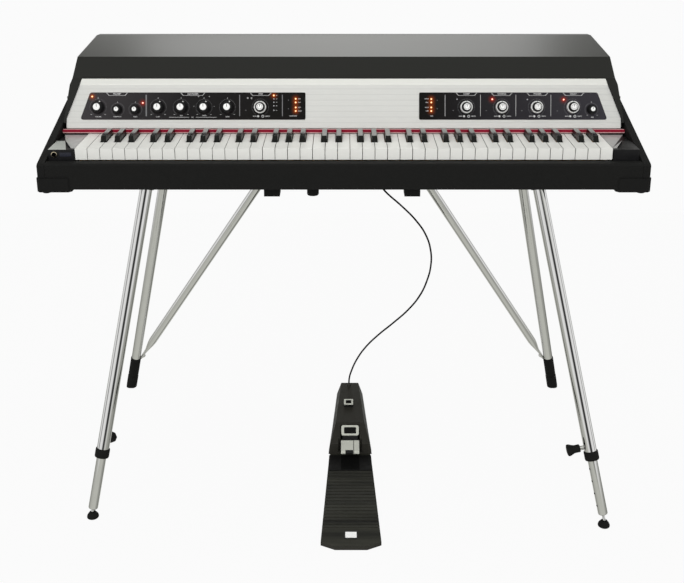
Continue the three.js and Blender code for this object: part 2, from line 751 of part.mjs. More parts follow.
const forkWidth = 6;
const forkClampY = 440;
const forkClampDepth = 18;
const forkLow = 150;
const tineThickness = 3;
const barThickness = 5;
const forkGap = 10;
const tineFrontLow = 345;
const tineFrontHigh = 357;
const barFrontLow = 330;
const barFrontHigh = 385;
const forkHigh = forkLow + tineThickness + forkGap + barThickness;
const noteShare = (n) => n / (allKeys.length - 1);

// A note's two legs: a ridged tine below, and the heavy tone bar above it.
function toneFork(key, n) {
  const low = base + forkLow;
  const high = base + forkHigh;
  const root = forkClampY + rootIn;
  const tine = alongY([
    [key.x - tineThickness / 2, low], [key.x + tineThickness / 2, low], [key.x, low + tineThickness],
  ], blend(tineFrontLow, tineFrontHigh, noteShare(n)), root);
  const bar = block(key.x - forkWidth / 2, key.x + forkWidth / 2,
    blend(barFrontLow, barFrontHigh, noteShare(n)), root, high - barThickness, high);
  return [tine, bar];
}

const harpOverhang = 12.7;
const harpHalf = keyboardHalf + harpOverhang;
const harpEnd = 10;
const pickupDepth = 14;
const pickupHeight = 12;
const pickupGap = 0.8;
const harpEndFront = 312;

const harpRailLow = base + forkLow - overrun;
const harpRearRail = block(-harpHalf, harpHalf, forkClampY, forkClampY + forkClampDepth,
  harpRailLow, base + forkHigh + overrun);
piece('tone_bars', join(harpRearRail, ...allKeys.flatMap(toneFork)), looks.steelBar);

// Harp frame: a slanted pickup bar in front of the tines' tips, between two end boards
// The tone bars' own rail lies on the end boards.

const firstX = allKeys[0].x;
const lastX = allKeys[allKeys.length - 1].x;
const pickupBarLow = base + forkLow - pickupHeight / 2;
const pickupSlope = (tineFrontHigh - tineFrontLow) / (lastX - firstX);
const pickupBackAt = (x) => tineFrontLow - pickupGap + (x - firstX) * pickupSlope;
const pickupBar = upZ([
  [-harpHalf, pickupBackAt(-harpHalf) - pickupDepth], [harpHalf, pickupBackAt(harpHalf) - pickupDepth],
  [harpHalf, pickupBackAt(harpHalf)], [-harpHalf, pickupBackAt(-harpHalf)],
], pickupBarLow, pickupBarLow + pickupHeight);
const harpSide = block(harpHalf - harpEnd, harpHalf, harpEndFront, forkClampY + forkClampDepth,
  boardTop, harpRailLow - clearance);
piece('harp_frame', join(pickupBar, harpSide, mirrored(harpSide)), looks.spruce);

// Damper bar: one rail of felts under the tines, drawn down by the pedal cable

const damperY = 408;
const damperDepth = 14;
const damperHeight = 12;
const damperTop = base + forkLow - clearance;
const damperHalf = harpHalf - harpEnd - clearance;
piece('damper_bar', block(-damperHalf, damperHalf, damperY, damperY + damperDepth,
  damperTop - damperHeight, damperTop), looks.damperFelt);

// Key blocks at both ends of the keyboard, with a bright plate let in beside the last key

const blockGap = 1.25;
const blockInner = keyboardHalf + blockGap;
const blockOuter = innerHalf - clearance * 2;
const blockTop = 69;
const blockBack = 94;
const blockBaseTop = 66.4;
const blockEdgeFrontIn = 14.5;
const blockEdgeBackIn = 32.5;
const blockEdgeFront = blockInner + blockEdgeFrontIn;
const blockEdgeBack = blockInner + blockEdgeBackIn;
const platePocket = 137;
const endPlateTop = 70;
const endPlateTip = 40;
const endPlateTipWidth = 8;
const endPlateBackWidth = 44.5;
const endPlateBack = blockInner + endPlateBackWidth;
const jackInset = 37.5;
const jackX = -blockInner - jackInset;
const jackHeight = 59.5;
const jackBarrel = 4.6;
const jackBore = 3.3;
const jackDepth = 30;
const jackFlange = 6;
const jackFlangeRise = 2;

const keyBlock = join(
  block(blockInner, blockOuter, keyFrontY, platePocket, boardTop, base + blockBaseTop),
  upZ([
    [blockEdgeFront, keyFrontY], [blockOuter, keyFrontY],
    [blockOuter, blockBack], [blockEdgeBack, blockBack],
  ], base + blockBaseTop - clearance, base + blockTop),
  block(blockInner, blockEdgeFront + clearance, keyFrontY, endPlateTip - clearance,
    base + blockBaseTop - clearance, base + blockTop),
);

// A cylinder along +Y from a start, for the socket and the hole that it sits in.
function rodY(points, x, y, z, steps) {
  const g = turned(points, steps);
  g.rotateX(-Math.PI / 2);
  g.translate(x, y, z);
  return g;
}
const jackSteps = 12;
const jackHole = rodY([
  [0, -overrun], [jackBarrel + clearance, -overrun], [jackBarrel + clearance, jackDepth + clearance],
  [0, jackDepth + clearance],
], jackX, keyFrontY, base + jackHeight, jackSteps);

const jack = rodY([
  [0, jackDepth], [jackBarrel, jackDepth], [jackBarrel, -clearance], [jackFlange, -clearance],
  [jackFlange, -clearance - jackFlangeRise], [jackBore, -clearance - jackFlangeRise],
  [jackBore, jackDepth - jackFlangeRise], [0, jackDepth - jackFlangeRise],
], jackX, keyFrontY, base + jackHeight, jackSteps);
piece('headphone_socket', jack, looks.knobSilver);

// The bright end plate lies on the block's low part, between the last key and the raised part.
const endPlate = upZ([
  [blockInner, endPlateTip], [blockInner + endPlateTipWidth, endPlateTip],
  [blockEdgeBack - clearance * 2, blockBack], [endPlateBack, platePocket], [blockInner, platePocket],
], base + blockBaseTop - rootIn, base + endPlateTop);
const endPlateClear = upZ([
  [blockEdgeFront - clearance, keyFrontY - overrun], [halfWidth, keyFrontY - overrun],
  [halfWidth, blockBack + clearance], [blockEdgeBack - clearance, blockBack + clearance],
], base + railHeight, base + nameRailLipHeight);
const platedBlock = join(keyBlock, cut(endPlate, endPlateClear));
piece('key_block_right', platedBlock, looks.caseBlack);
piece('key_block_left', cut(mirrored(platedBlock), jackHole), looks.caseBlack);

// Legs: chromed tubes in flanges under the board; the front pair telescopes

const tubeSteps = 10;
const flangeRadius = 40;
const flangeThickness = 6;
const socketLength = 26;
const socketWall = 3.5;
const frontFlangeY = 90;
const rearFlangeY = 360;
const frontFootY = { left: -62, right: -91 };
const rearFootY = 476;
const frontTubeLength = 563;
const legHeadroom = flangeThickness + clearance * 3;

// Each leg leans a little differently, so each has places of its own for its flange and its foot.
function legAt(flangeShare, flangeY, footShare, footY) {
  const top = new THREE.Vector3(across(flangeShare), flangeY, base);
  const foot = new THREE.Vector3(across(footShare), footY, 0);
  return { top, foot, rise: top.clone().sub(foot).normalize(), length: top.distanceTo(foot) };
}
const frontLegs = {
  left: legAt(-0.6695, frontFlangeY, -0.8939, frontFootY.left),
  right: legAt(0.6603, frontFlangeY, 0.9146, frontFootY.right),
};
const rearLegs = {
  left: legAt(-0.6718, rearFlangeY, -0.9421, rearFootY),
  right: legAt(0.6674, rearFlangeY, 0.9253, rearFootY),
};
const inwards = {
  left: new THREE.Vector3(1, 0, 0),
  right: new THREE.Vector3(-1, 0, 0),
};

// Stands a piece that was made along a leg, with its height counted from the leg's foot.
const onLeg = (geometry, leg) => lean(geometry, leg.foot, leg.rise);

// A direction from a leg's axis, turned square to that axis.
function squareTo(leg, direction) {
  return direction.clone().addScaledVector(leg.rise, -direction.dot(leg.rise)).normalize();
}

const collarHeight = 18;
const collarRadius = 14.2;
const collarFloor = 5;
const tipTop = 93.5;
const tipFloor = 22;
const tipRadius = 12.7;
const tipUpperRadius = 12.2;
const tipGrooveAt = 38;
const tipGroove = 1.5;

function flange(leg, tubeRadius) {
  const place = leg.top;
  const plate = turned([
    [0, -flangeThickness], [flangeRadius - flangeThickness / 2, -flangeThickness],
    [flangeRadius, -flangeThickness / 2], [flangeRadius, rootIn], [0, rootIn],
  ], 12);
  plate.translate(place.x, place.y, place.z);
  const socketLow = leg.length - socketLength;
  const socketRadius = tubeRadius + clearance + socketWall;
  const socket = onLeg(turned([
    [0, socketLow], [socketRadius, socketLow], [socketRadius, leg.length], [0, leg.length],
  ], tubeSteps), leg);
  const boreTop = leg.length - legHeadroom;
  const bore = tubeRadius + clearance;
  const hole = onLeg(turned([[0, 0], [bore, 0], [bore, boreTop], [0, boreTop]], tubeSteps), leg);
  const level = block(place.x - flangeRadius * 2, place.x + flangeRadius * 2,
    place.y - flangeRadius * 2, place.y + flangeRadius * 2, base + rootIn, base + socketLength);
  return cut(join(plate, socket), hole, level);
}

// Each front tube ends in the black collar that guides its extension.
const collarBore = legInnerRadius + clearance;
const tubeTopAt = (leg) => leg.length - legHeadroom - overrun;
const collarLowAt = (leg) => tubeTopAt(leg) - frontTubeLength;

function frontLeg(leg) {
  const low = collarLowAt(leg);
  const seat = legTubeRadius - rootIn / 2;
  const bore = legTubeRadius - legTubeWall;
  const tube = pipe(legTubeRadius, bore, low + collarFloor, tubeTopAt(leg), tubeSteps);
  const collar = turned([
    [collarBore, 0], [collarRadius, 0], [collarRadius, collarHeight], [seat, collarHeight],
    [seat, collarFloor - rootIn], [collarBore, collarFloor - rootIn], [collarBore, 0],
  ].map(([r, h]) => [r, h + low]), tubeSteps);
  return onLeg(join(tube, collar), leg);
}
piece('front_leg_right', frontLeg(frontLegs.right), looks.chromeTube);
piece('front_leg_left', frontLeg(frontLegs.left), looks.chromeTube);

// Each rear tube ends in a long black tip, cut level with the floor.
const underFloor = block(-caseWidth, caseWidth, pedalFrontY, caseDepth, -tipTop, 0);
function rearLeg(leg) {
  const seat = rearTubeRadius - rootIn / 2;
  const tube = pipe(rearTubeRadius, rearTubeRadius - legTubeWall, tipFloor, tubeTopAt(leg), tubeSteps);
  const tip = turned([
    [0, -tipRadius / 2], [tipRadius - tipGroove, -tipRadius / 2], [tipRadius, tipGrooveAt / 3],
    [tipRadius, tipGrooveAt - tipGroove], [tipRadius - tipGroove, tipGrooveAt],
    [tipUpperRadius, tipGrooveAt + tipGroove], [tipUpperRadius, tipTop], [seat, tipTop],
    [seat, tipFloor + rootIn], [0, tipFloor + rootIn],
  ], tubeSteps);
  return cut(onLeg(join(tube, tip), leg), underFloor);
}
piece('rear_leg_right', rearLeg(rearLegs.right), looks.chromeTube);
piece('rear_leg_left', rearLeg(rearLegs.left), looks.chromeTube);

// Front leg extensions: the inner tube, its rounded end plug and the stem with its ball

const plugHeight = { left: 20, right: 26 };
const extensionLap = 186;
const plugLength = 3;
const stemRadius = 2.6;
const ballRadius = 3;
const ballHeight = 14;
const footHeight = 12.5;
const footRadius = 11.8;
const footTopRadius = 6.5;

function legExtension(leg, low) {
  return onLeg(turned([
    [0, ballHeight], [ballRadius * 0.7, ballHeight + ballRadius * 0.2],
    [ballRadius, ballHeight + ballRadius],
    [stemRadius, ballHeight + ballRadius * 1.5], [stemRadius, low],
    [legInnerRadius - plugLength, low], [legInnerRadius, low + plugLength],
    [legInnerRadius, collarLowAt(leg) + extensionLap], [0, collarLowAt(leg) + extensionLap],
  ], tubeSteps), leg);
}
piece('leg_extension_right', legExtension(frontLegs.right, plugHeight.right), looks.chromeTube);
piece('leg_extension_left', legExtension(frontLegs.left, plugHeight.left), looks.chromeTube);

// Levelling feet: rubber bells that swivel under the balls

const footProfile = [
  [0, 0], [footRadius * 0.9, 0], [footRadius, footHeight * 0.2], [footRadius * 0.85, footHeight * 0.55],
  [footTopRadius, footHeight], [0, footHeight],
];
function levellingFoot(leg) {
  const ballCentre = leg.foot.clone().addScaledVector(leg.rise, ballHeight);
  return turned(footProfile, 14).translate(ballCentre.x, ballCentre.y, 0);
}
piece('levelling_foot_right', levellingFoot(frontLegs.right), looks.blackRubber);
piece('levelling_foot_left', levellingFoot(frontLegs.left), looks.blackRubber);

// Clamp knobs: thumb screws through the tubes, just above the collars

const clampOverCollar = 27;
const clampShaftRadius = 4.6;
const clampShaftLength = 7.5;
const clampHubRadius = 7;
const clampHubLength = 14;
const clampHeadRadius = 11.8;
const clampHeadLength = 11.7;
const clampEdge = 2;
const leftClampDirection = new THREE.Vector3(0.165, 1, 0);

function clampKnob(leg, direction) {
  const place = leg.foot.clone().addScaledVector(leg.rise, collarLowAt(leg) + clampOverCollar);
  const start = legTubeRadius + clearance;
  const hubStart = start + clampShaftLength;
  const headStart = hubStart + clampHubLength;
  const headEnd = headStart + clampHeadLength;
  return lean(turned([
    [0, start], [clampShaftRadius, start], [clampShaftRadius, hubStart], [clampHubRadius, hubStart],
    [clampHubRadius, headStart], [clampHeadRadius, headEnd - clampEdge * 3],
    [clampHeadRadius, headEnd - clampEdge], [clampHeadRadius - clampEdge, headEnd], [0, headEnd],
  ], 12), place, squareTo(leg, direction));
}
piece('clamp_knob_right', clampKnob(frontLegs.right, inwards.right), looks.knobBlack);
piece('clamp_knob_left', clampKnob(frontLegs.left, leftClampDirection), looks.knobBlack);

// Rear braces: bars with flattened ends, from the rear legs up to brackets under the board

const braceRadius = 9.5;
const braceEndThickness = 5;
const braceEndLength = 30;
const braceEndWidth = 18;
const braceLowAt = 100;
const bracketX = across(0.2496);
const bracketY = 250;
const bracketDrop = 20;
const braceTopX = bracketX + braceEndThickness;

function brace(leg, inward) {
  const low = leg.foot.clone().addScaledVector(leg.rise, braceLowAt)
    .addScaledVector(squareTo(leg, inward), tipUpperRadius + braceEndThickness / 2 - clearance);
  const high = new THREE.Vector3(-inward.x * braceTopX, bracketY, base - bracketDrop);
  const run = high.clone().sub(low);
  const length = run.length();
  const edge = braceEndThickness / 2;
  const rings = [
    [0, braceEndWidth / 2, edge], [braceEndLength, braceEndWidth / 2, edge],
    [braceEndLength * 2, braceRadius, braceRadius], [length - braceEndLength * 2, braceRadius, braceRadius],
    [length - braceEndLength, braceEndWidth / 2, edge], [length, braceEndWidth / 2, edge],
  ].map(([height, broad, thin]) => {
    const ring = [];
    for (let k = 0; k < tubeSteps; k += 1) {
      const angle = (k / tubeSteps) * Math.PI * 2;
      ring.push([Math.cos(angle) * thin, Math.sin(angle) * broad, height]);
    }
    return ring;
  });
  return lean(loft(rings), low, run.normalize());
}
piece('rear_brace_right', brace(rearLegs.right, inwards.right), looks.chromeTube);
piece('rear_brace_left', brace(rearLegs.left, inwards.left), looks.chromeTube);

// Bottom board and what is screwed under it, made in one with it: leg flanges, brace brackets,
// cable socket, two front blocks and a thumb knob

const bracketPlate = 4;
const bracketHalf = 16;
const bracketGap = clearance + braceEndThickness / 2;
const frontBlockY = 42;
const frontBlockDepth = 34;
const frontBlockHalf = 15;
const frontBlockDrop = 28;
const leftBlockX = across(-0.2418);
const rightBlockX = across(0.2305);
const thumbKnobX = across(-0.1044);
const thumbKnobY = 56;
const thumbKnobRadius = 11.5;
const thumbKnobDrop = 28.5;
const cableSocketX = across(0.1123);
const cableSocketY = 172;
const cableSocketDrop = 12;
const cableSocketRadius = 9;
const cableRadius = 1.9;

const bracket = join(
  block(bracketX - bracketHalf, bracketX + bracketHalf, bracketY - bracketHalf, bracketY + bracketHalf,
    base - bracketPlate, base + rootIn),
  block(braceTopX - bracketGap - bracketPlate, braceTopX - bracketGap,
    bracketY - bracketHalf, bracketY + bracketHalf, base - bracketDrop - bracketHalf / 2, base + rootIn),
);
const frontBlock = (x) => acrossX(
  chamfered(frontBlockY, frontBlockY + frontBlockDepth, base - frontBlockDrop, base + noseChamfer + rootIn,
    noseChamfer),
  x - frontBlockHalf, x + frontBlockHalf,
);
const thumbKnob = turned([
  [0, -thumbKnobDrop], [thumbKnobRadius - noseChamfer, -thumbKnobDrop],
  [thumbKnobRadius, -thumbKnobDrop + noseChamfer], [thumbKnobRadius, rootIn], [0, rootIn],
], 16);
thumbKnob.translate(thumbKnobX, thumbKnobY, base);
const cableSocket = turned([
  [0, -cableSocketDrop], [cableRadius * 2, -cableSocketDrop], [cableSocketRadius, -cableSocketDrop / 2],
  [cableSocketRadius, rootIn], [0, rootIn],
], 12);
cableSocket.translate(cableSocketX, cableSocketY, base);
const board = block(-betweenWalls, betweenWalls, boardFront, boardBack, base, base + boardThickness);
const flanges = [
  ...Object.values(frontLegs).map((leg) => flange(leg, legTubeRadius)),
  ...Object.values(rearLegs).map((leg) => flange(leg, rearTubeRadius)),
];
piece('bottom_board', join(
  board, ...flanges, bracket, mirrored(bracket), frontBlock(leftBlockX), frontBlock(rightBlockX),
  thumbKnob, cableSocket,
), looks.plywood);

// Pedal: a heavy floor plate with a ribbed mat, a sloping housing, and a sprung treadle

const pedalX = across(0.0246);
const pedalPlateHeight = 8;
const pedalFrontHalf = 59;
const pedalTipHalf = 31;
const pedalTipDepth = 14;
const pedalSeamY = 108;
const pedalSeamHalf = 48;
const pedalRearY = 330;
const pedalRearHalf = 33;
const housingFrontY = 155;
const housingSeamY = 201;
const housingRearY = 321;
const housingRearHeight = 95;
const slotHalf = 21.5;
const mouthHalf = 26;
const mouthBackY = 167;
const slotBackY = 285;
const slotTopY = 197;
const slotFloor = 14;
const tunnelTop = 43;
const ribPitch = 11;
const ribDepth = 1;
const matStart = 56;
const matEndY = 92;

const pedalOutline = [
  [-pedalTipHalf, pedalFrontY], [pedalTipHalf, pedalFrontY], [pedalFrontHalf, pedalFrontY + pedalTipDepth],
  [pedalSeamHalf, pedalSeamY], [pedalRearHalf, pedalRearY], [-pedalRearHalf, pedalRearY],
  [-pedalSeamHalf, pedalSeamY], [-pedalFrontHalf, pedalFrontY + pedalTipDepth],
];
const ribs = [];
const matFrontY = pedalFrontY + matStart;
for (let y = matFrontY; y < matEndY; y += ribPitch) {
  ribs.push(block(-pedalFrontHalf - overrun, pedalFrontHalf + overrun, y, y + ribPitch / 3,
    pedalPlateHeight - ribDepth, pedalPlateHeight + overrun));
}
const pedalPlate = cut(upZ(pedalOutline, 0, pedalPlateHeight), ...ribs);
pedalPlate.translate(pedalX, 0, 0);
piece('pedal_base', pedalPlate, looks.pedalBlack);

// Stations of the housing: place, half width at the foot, half width and height of the shoulder,
// and half width and height of the top.
const housingStations = [
  [housingFrontY, 48, 47, 20, 44, 35],
  [housingSeamY, 45, 40.5, 42, 32, 61],
  [housingRearY, 36, 30, 66, 20, housingRearHeight],
  [pedalRearY, 33, 29, 60, 19, 86],
];
const housingBlank = loft(housingStations.map(([y, footHalf, shoulderHalf, shoulder, topHalf, top]) => {
  const half = [[footHalf, pedalPlateHeight + clearance], [shoulderHalf, shoulder], [topHalf, top]];
  return [
    ...half.map(([x, z]) => [x, y, z]), ...half.map(([x, z]) => [-x, y, z]).reverse(),
  ];
}));

// The treadle's cross pin turns in two blind holes in the slot's side walls.
const treadlePivotY = 272;
const treadlePivotHeight = 34;
const pinRadius = 3;
const pinReach = 7;
function crossPin(radius, reach) {
  const g = turned([[0, -reach], [radius, -reach], [radius, reach], [0, reach]], 12);
  g.rotateY(Math.PI / 2);
  g.translate(0, treadlePivotY, treadlePivotHeight);
  return g;
}
const slot = join(
  block(-slotHalf, slotHalf, housingFrontY - overrun, slotBackY, slotFloor, tunnelTop),
  block(-slotHalf, slotHalf, housingFrontY - overrun, slotTopY, slotFloor, housingRearHeight),
  block(-mouthHalf, mouthHalf, housingFrontY - overrun, mouthBackY, slotFloor, housingRearHeight),
);
const glandX = -2;
const glandY = 312;
const glandRadius = 4;
const glandTop = 101;
const gland = turned([
  [0, housingRearHeight - glandTop], [glandRadius, housingRearHeight - glandTop], [glandRadius, 0],
  [cableRadius, glandTop - housingRearHeight], [0, glandTop - housingRearHeight],
], 10);
gland.translate(glandX, glandY, housingRearHeight);
const pinHoles = crossPin(pinRadius + clearance, slotHalf + pinReach + clearance);
const housing = join(cut(housingBlank, slot, pinHoles), gland);
housing.translate(pedalX, 0, 0);
piece('pedal_housing', housing, looks.pedalBlack);

// The treadle's outline: a chunky nose, a dip, the raised pad, and the arm back to the cross pin.
const treadleHalf = slotHalf - 1;
const treadleThickness = 6;
const treadleNoseY = 128;
const treadleNoseHeight = 30;
const dipY = 161;
const dipHeight = 40;
const padFrontY = 171.5;
const padFrontHeight = 45.5;
const padBackY = 190;
const padBackHeight = 60;
const armLow = treadlePivotHeight - treadleThickness;
const armHigh = treadlePivotHeight + treadleThickness;
const treadleOutline = [
  [treadleNoseY, treadleNoseHeight - treadleThickness], [dipY, armLow + treadleThickness / 2],
  [padBackY, armLow], [treadlePivotY, armLow], [treadlePivotY + treadleThickness, treadlePivotHeight],
  [treadlePivotY, armHigh], [padBackY + treadleThickness, armHigh], [padBackY + 4, padBackHeight - 1],
  [padBackY, padBackHeight], [padFrontY, padFrontHeight], [dipY + treadleThickness, dipHeight - 2],
  [dipY, dipHeight], [treadleNoseY, treadleNoseHeight],
];
const treadle = join(
  acrossX(treadleOutline, -treadleHalf, treadleHalf), crossPin(pinRadius, slotHalf + pinReach),
);
treadle.translate(pedalX, 0, 0);
piece('pedal_treadle', treadle, looks.chromeTube);

// Pedal cable: a stiff sheathed cable in one S-shaped sweep from the board down to the housing
// The points are places on its route, chosen by hand.

const cableRoute = [
  [0.1123, 172, 663.1], [0.1132, 172.4, 652], [0.1193, 175.5, 639], [0.1307, 181, 627.5],
  [0.1421, 186, 618], [0.1544, 190.5, 608.5], [0.2123, 202, 575], [0.2649, 212, 541],
  [0.3053, 221, 505], [0.3281, 231, 464], [0.3316, 238, 427], [0.3193, 247, 386],
  [0.2947, 256, 347], [0.2526, 265, 309], [0.193, 276, 270], [0.1368, 286, 236],
  [0.0877, 295, 201], [0.0526, 302, 166], [0.0316, 308, 134], [0.0228, 311, 114],
  [0.0211, 312, 101.4],
].map(([share, y, z]) => new THREE.Vector3(across(share), y, z));
const cableSides = 8;
const cableSteps = 64;
const cableSection = new THREE.Shape();
cableSection.absarc(0, 0, cableRadius, 0, Math.PI * 2);
const cable = new THREE.ExtrudeGeometry(
  new THREE.Shape(cableSection.getPoints(cableSides).slice(0, cableSides)),
  { steps: cableSteps, bevelEnabled: false, extrudePath: new THREE.CatmullRomCurve3(cableRoute) },
);
piece('pedal_cable', cable, looks.blackRubber);

// The origin goes to the floor, under the middle of the box that holds the whole.
const backmost = caseDepth + protectorSkin;
instrument.position.set(0, -(pedalFrontY + backmost) / 2, 0);

export default instrument;
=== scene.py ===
import json
import math

import bmesh
import bpy
from mathutils import Matrix, Vector

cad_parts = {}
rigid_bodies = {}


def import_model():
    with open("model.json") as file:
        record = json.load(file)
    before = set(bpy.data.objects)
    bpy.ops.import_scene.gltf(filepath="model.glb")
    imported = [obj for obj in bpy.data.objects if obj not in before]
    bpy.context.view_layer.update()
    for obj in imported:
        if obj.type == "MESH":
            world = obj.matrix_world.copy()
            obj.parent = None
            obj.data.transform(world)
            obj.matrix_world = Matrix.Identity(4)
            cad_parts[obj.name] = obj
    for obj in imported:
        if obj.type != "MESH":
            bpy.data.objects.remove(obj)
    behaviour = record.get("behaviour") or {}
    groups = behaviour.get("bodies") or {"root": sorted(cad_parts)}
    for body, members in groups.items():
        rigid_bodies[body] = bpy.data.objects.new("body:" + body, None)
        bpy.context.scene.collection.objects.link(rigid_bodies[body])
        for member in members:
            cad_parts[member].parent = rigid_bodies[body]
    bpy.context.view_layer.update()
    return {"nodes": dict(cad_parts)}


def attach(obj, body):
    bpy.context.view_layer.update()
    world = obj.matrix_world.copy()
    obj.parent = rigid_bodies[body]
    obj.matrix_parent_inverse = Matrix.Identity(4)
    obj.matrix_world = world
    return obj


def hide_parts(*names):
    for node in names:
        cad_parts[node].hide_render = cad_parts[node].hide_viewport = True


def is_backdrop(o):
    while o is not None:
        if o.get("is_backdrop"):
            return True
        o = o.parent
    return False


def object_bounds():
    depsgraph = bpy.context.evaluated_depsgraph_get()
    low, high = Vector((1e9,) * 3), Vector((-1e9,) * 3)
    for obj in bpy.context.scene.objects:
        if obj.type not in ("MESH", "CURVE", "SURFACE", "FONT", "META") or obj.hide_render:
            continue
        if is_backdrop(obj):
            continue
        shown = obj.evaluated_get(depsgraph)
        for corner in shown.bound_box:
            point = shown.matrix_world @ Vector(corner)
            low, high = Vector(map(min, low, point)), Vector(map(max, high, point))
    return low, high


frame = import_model()

# Electric stage piano on four tubular legs, with its sustain pedal and pedal cable.
# Points are in millimetres: x to the player's right from the middle, y back from the case's front
# face and z up from the floor. The camera, the cable and the studio are in Blender's own metres.


# Camera: a normal lens in front of the player's side, level with the hood and looking down a little.
# The lens is shifted, because the photograph isn't centred on the way that the camera looks.

PICTURE_WIDTH = 684
FOCAL_PIXELS = 1000
SHIFT_PIXELS = (-1.8, -96.45)
LOOKING_DOWN = 18.2
CAMERA_PLACE = (0, -1.992, 1.2498)


def in_scene(name, data):
    obj = bpy.data.objects.new(name, data)
    bpy.context.scene.collection.objects.link(obj)
    return obj


camera_data = bpy.data.cameras.new("camera")
camera_data.sensor_width = 36
camera_data.lens = camera_data.sensor_width * FOCAL_PIXELS / PICTURE_WIDTH
camera_data.shift_x = SHIFT_PIXELS[0] / PICTURE_WIDTH
camera_data.shift_y = SHIFT_PIXELS[1] / PICTURE_WIDTH
camera = in_scene("camera", camera_data)
camera.location = CAMERA_PLACE
camera.rotation_euler = (math.radians(90 - LOOKING_DOWN), 0, 0)
bpy.context.scene.camera = camera
bpy.context.scene.view_settings.view_transform = "Standard"


# Pedal cable: one stiff cable in black rubber that hangs from the socket under the case to the pedal.
# It is a round curve along the route that its solid follows. Its rubber, like most finishes here,
# is a principled shader whose colour, gloss and relief come from a fine grain.


def new_material(name):
    m = bpy.data.materials.new(name)
    m.use_nodes = True
    return m, m.node_tree, m.node_tree.nodes["Principled BSDF"]


def fill(n, *values, **named):
    """Fills a node's inputs, by order or name, with values or with the outputs that feed them.
    A name that isn't an input's is a setting of the node."""
    for key, value in [*enumerate(values), *named.items()]:
        label = key if isinstance(key, int) else key.replace("_", " ")
        if isinstance(label, str) and label not in n.inputs:
            setattr(n, key, value)
        elif isinstance(value, bpy.types.NodeSocket):
            n.id_data.links.new(value, n.inputs[label])
        else:
            n.inputs[label].default_value = value
    return n


def add(tree, kind, *values, **named):
    return fill(tree.nodes.new("ShaderNode" + kind), *values, **named)


def position(tree):
    return add(tree, "TexCoord").outputs["Object"]


def grain(tree, scale, stretch=(1, 1, 1), detail=4, roughness=0.6):
    where = add(tree, "Mapping", position(tree), Scale=stretch).outputs[0]
    return add(tree, "TexNoise", where, Scale=scale, Detail=detail, Roughness=roughness).outputs["Fac"]


def ramp(tree, factor, stops):
    n = add(tree, "ValToRGB", factor)
    while len(n.color_ramp.elements) < len(stops):
        n.color_ramp.elements.new(0.5)
    for element, (place, colour) in zip(n.color_ramp.elements, stops):
        element.position = place
        element.color = (*colour, 1)
    return n.outputs["Color"]


def shade(colour, share):
    return tuple(c * share for c in colour)


def emboss(bsdf, height, relief, depth, invert=False):
    bump = add(bsdf.id_data, "Bump", Strength=relief, Distance=depth, Height=height, invert=invert)
    fill(bsdf, Normal=bump.outputs[0])


def grainy(name, colour, rough, metal=0.0, scale=300, relief=0.1, spread=0.12, stretch=(1, 1, 1),
           specular=0.5, rough_spread=0.1, coat=0.0):
    """A solid-coloured material with a fine grain in its colour, its gloss and its relief."""
    m, tree, bsdf = new_material(name)
    noise = grain(tree, scale, stretch)
    tint = ramp(tree, noise, [(0.3, shade(colour, 1 - spread)), (0.7, shade(colour, 1 + spread))])
    low, high = max(rough - rough_spread, 0.02), min(rough + rough_spread, 1)
    gloss = ramp(tree, grain(tree, scale / 7, stretch, 3), [(0.3, (low,) * 3), (0.7, (high,) * 3)])
    fill(bsdf, Base_Color=tint, Roughness=gloss, Metallic=metal, Specular_IOR_Level=specular,
         Coat_Weight=coat, Coat_Roughness=0.08)
    if relief:
        emboss(bsdf, noise, relief, 0.0002)
    return m


RUBBER = grainy("black_rubber", (0.0074, 0.0074, 0.0072), 0.66, scale=500, relief=0.15, specular=0.12)
CABLE_DIAMETER = 0.0038
CABLE_ROUTE = [
    (0.0640, -0.0430, 0.6631), (0.0645, -0.0426, 0.6520), (0.0680, -0.0395, 0.6390),
    (0.0745, -0.0340, 0.6275), (0.0810, -0.0290, 0.6180), (0.0880, -0.0245, 0.6085),
    (0.1210, -0.0130, 0.5750), (0.1510, -0.0030, 0.5410), (0.1740, 0.0060, 0.5050),
    (0.1870, 0.0160, 0.4640), (0.1890, 0.0230, 0.4270), (0.1820, 0.0320, 0.3860),
    (0.1680, 0.0410, 0.3470), (0.1440, 0.0500, 0.3090), (0.1100, 0.0610, 0.2700),
    (0.0780, 0.0710, 0.2360), (0.0500, 0.0800, 0.2010), (0.0300, 0.0870, 0.1660),
    (0.0180, 0.0930, 0.1340), (0.0130, 0.0960, 0.1140), (0.0120, 0.0970, 0.1014),
]
curve = bpy.data.curves.new("pedal_cable_run", "CURVE")
curve.dimensions = "3D"
curve.bevel_depth = CABLE_DIAMETER / 2
curve.bevel_resolution = 4
curve.resolution_u = 8
curve.use_fill_caps = True
spline = curve.splines.new("BEZIER")
spline.bezier_points.add(len(CABLE_ROUTE) - 1)
for bezier_point, place in zip(spline.bezier_points, CABLE_ROUTE):
    bezier_point.co = place
    bezier_point.handle_left_type = bezier_point.handle_right_type = "AUTO"
curve.materials.append(RUBBER)
cable = in_scene("pedal_cable_run", curve)
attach(cable, "case")
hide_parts("pedal_cable")


# Studio: a pale floor and backdrop, a soft sky, and four large soft lights.
# The camera sees the plain pale colour and the piano's shadow on it. Metal mirrors a backdrop with
# bright and dark bands, which give the chrome its streaks.

PALE = (0.965, 0.965, 0.965, 1)


def for_camera(tree, others, seen):
    """One shader for what the camera sees, and another for every other ray."""
    rays = add(tree, "LightPath")
    return add(tree, "MixShader", rays.outputs["Is Camera Ray"], others, seen).outputs[0]


def result(tree, operation, *values):
    return add(tree, "Math", *values, operation=operation).outputs[0]


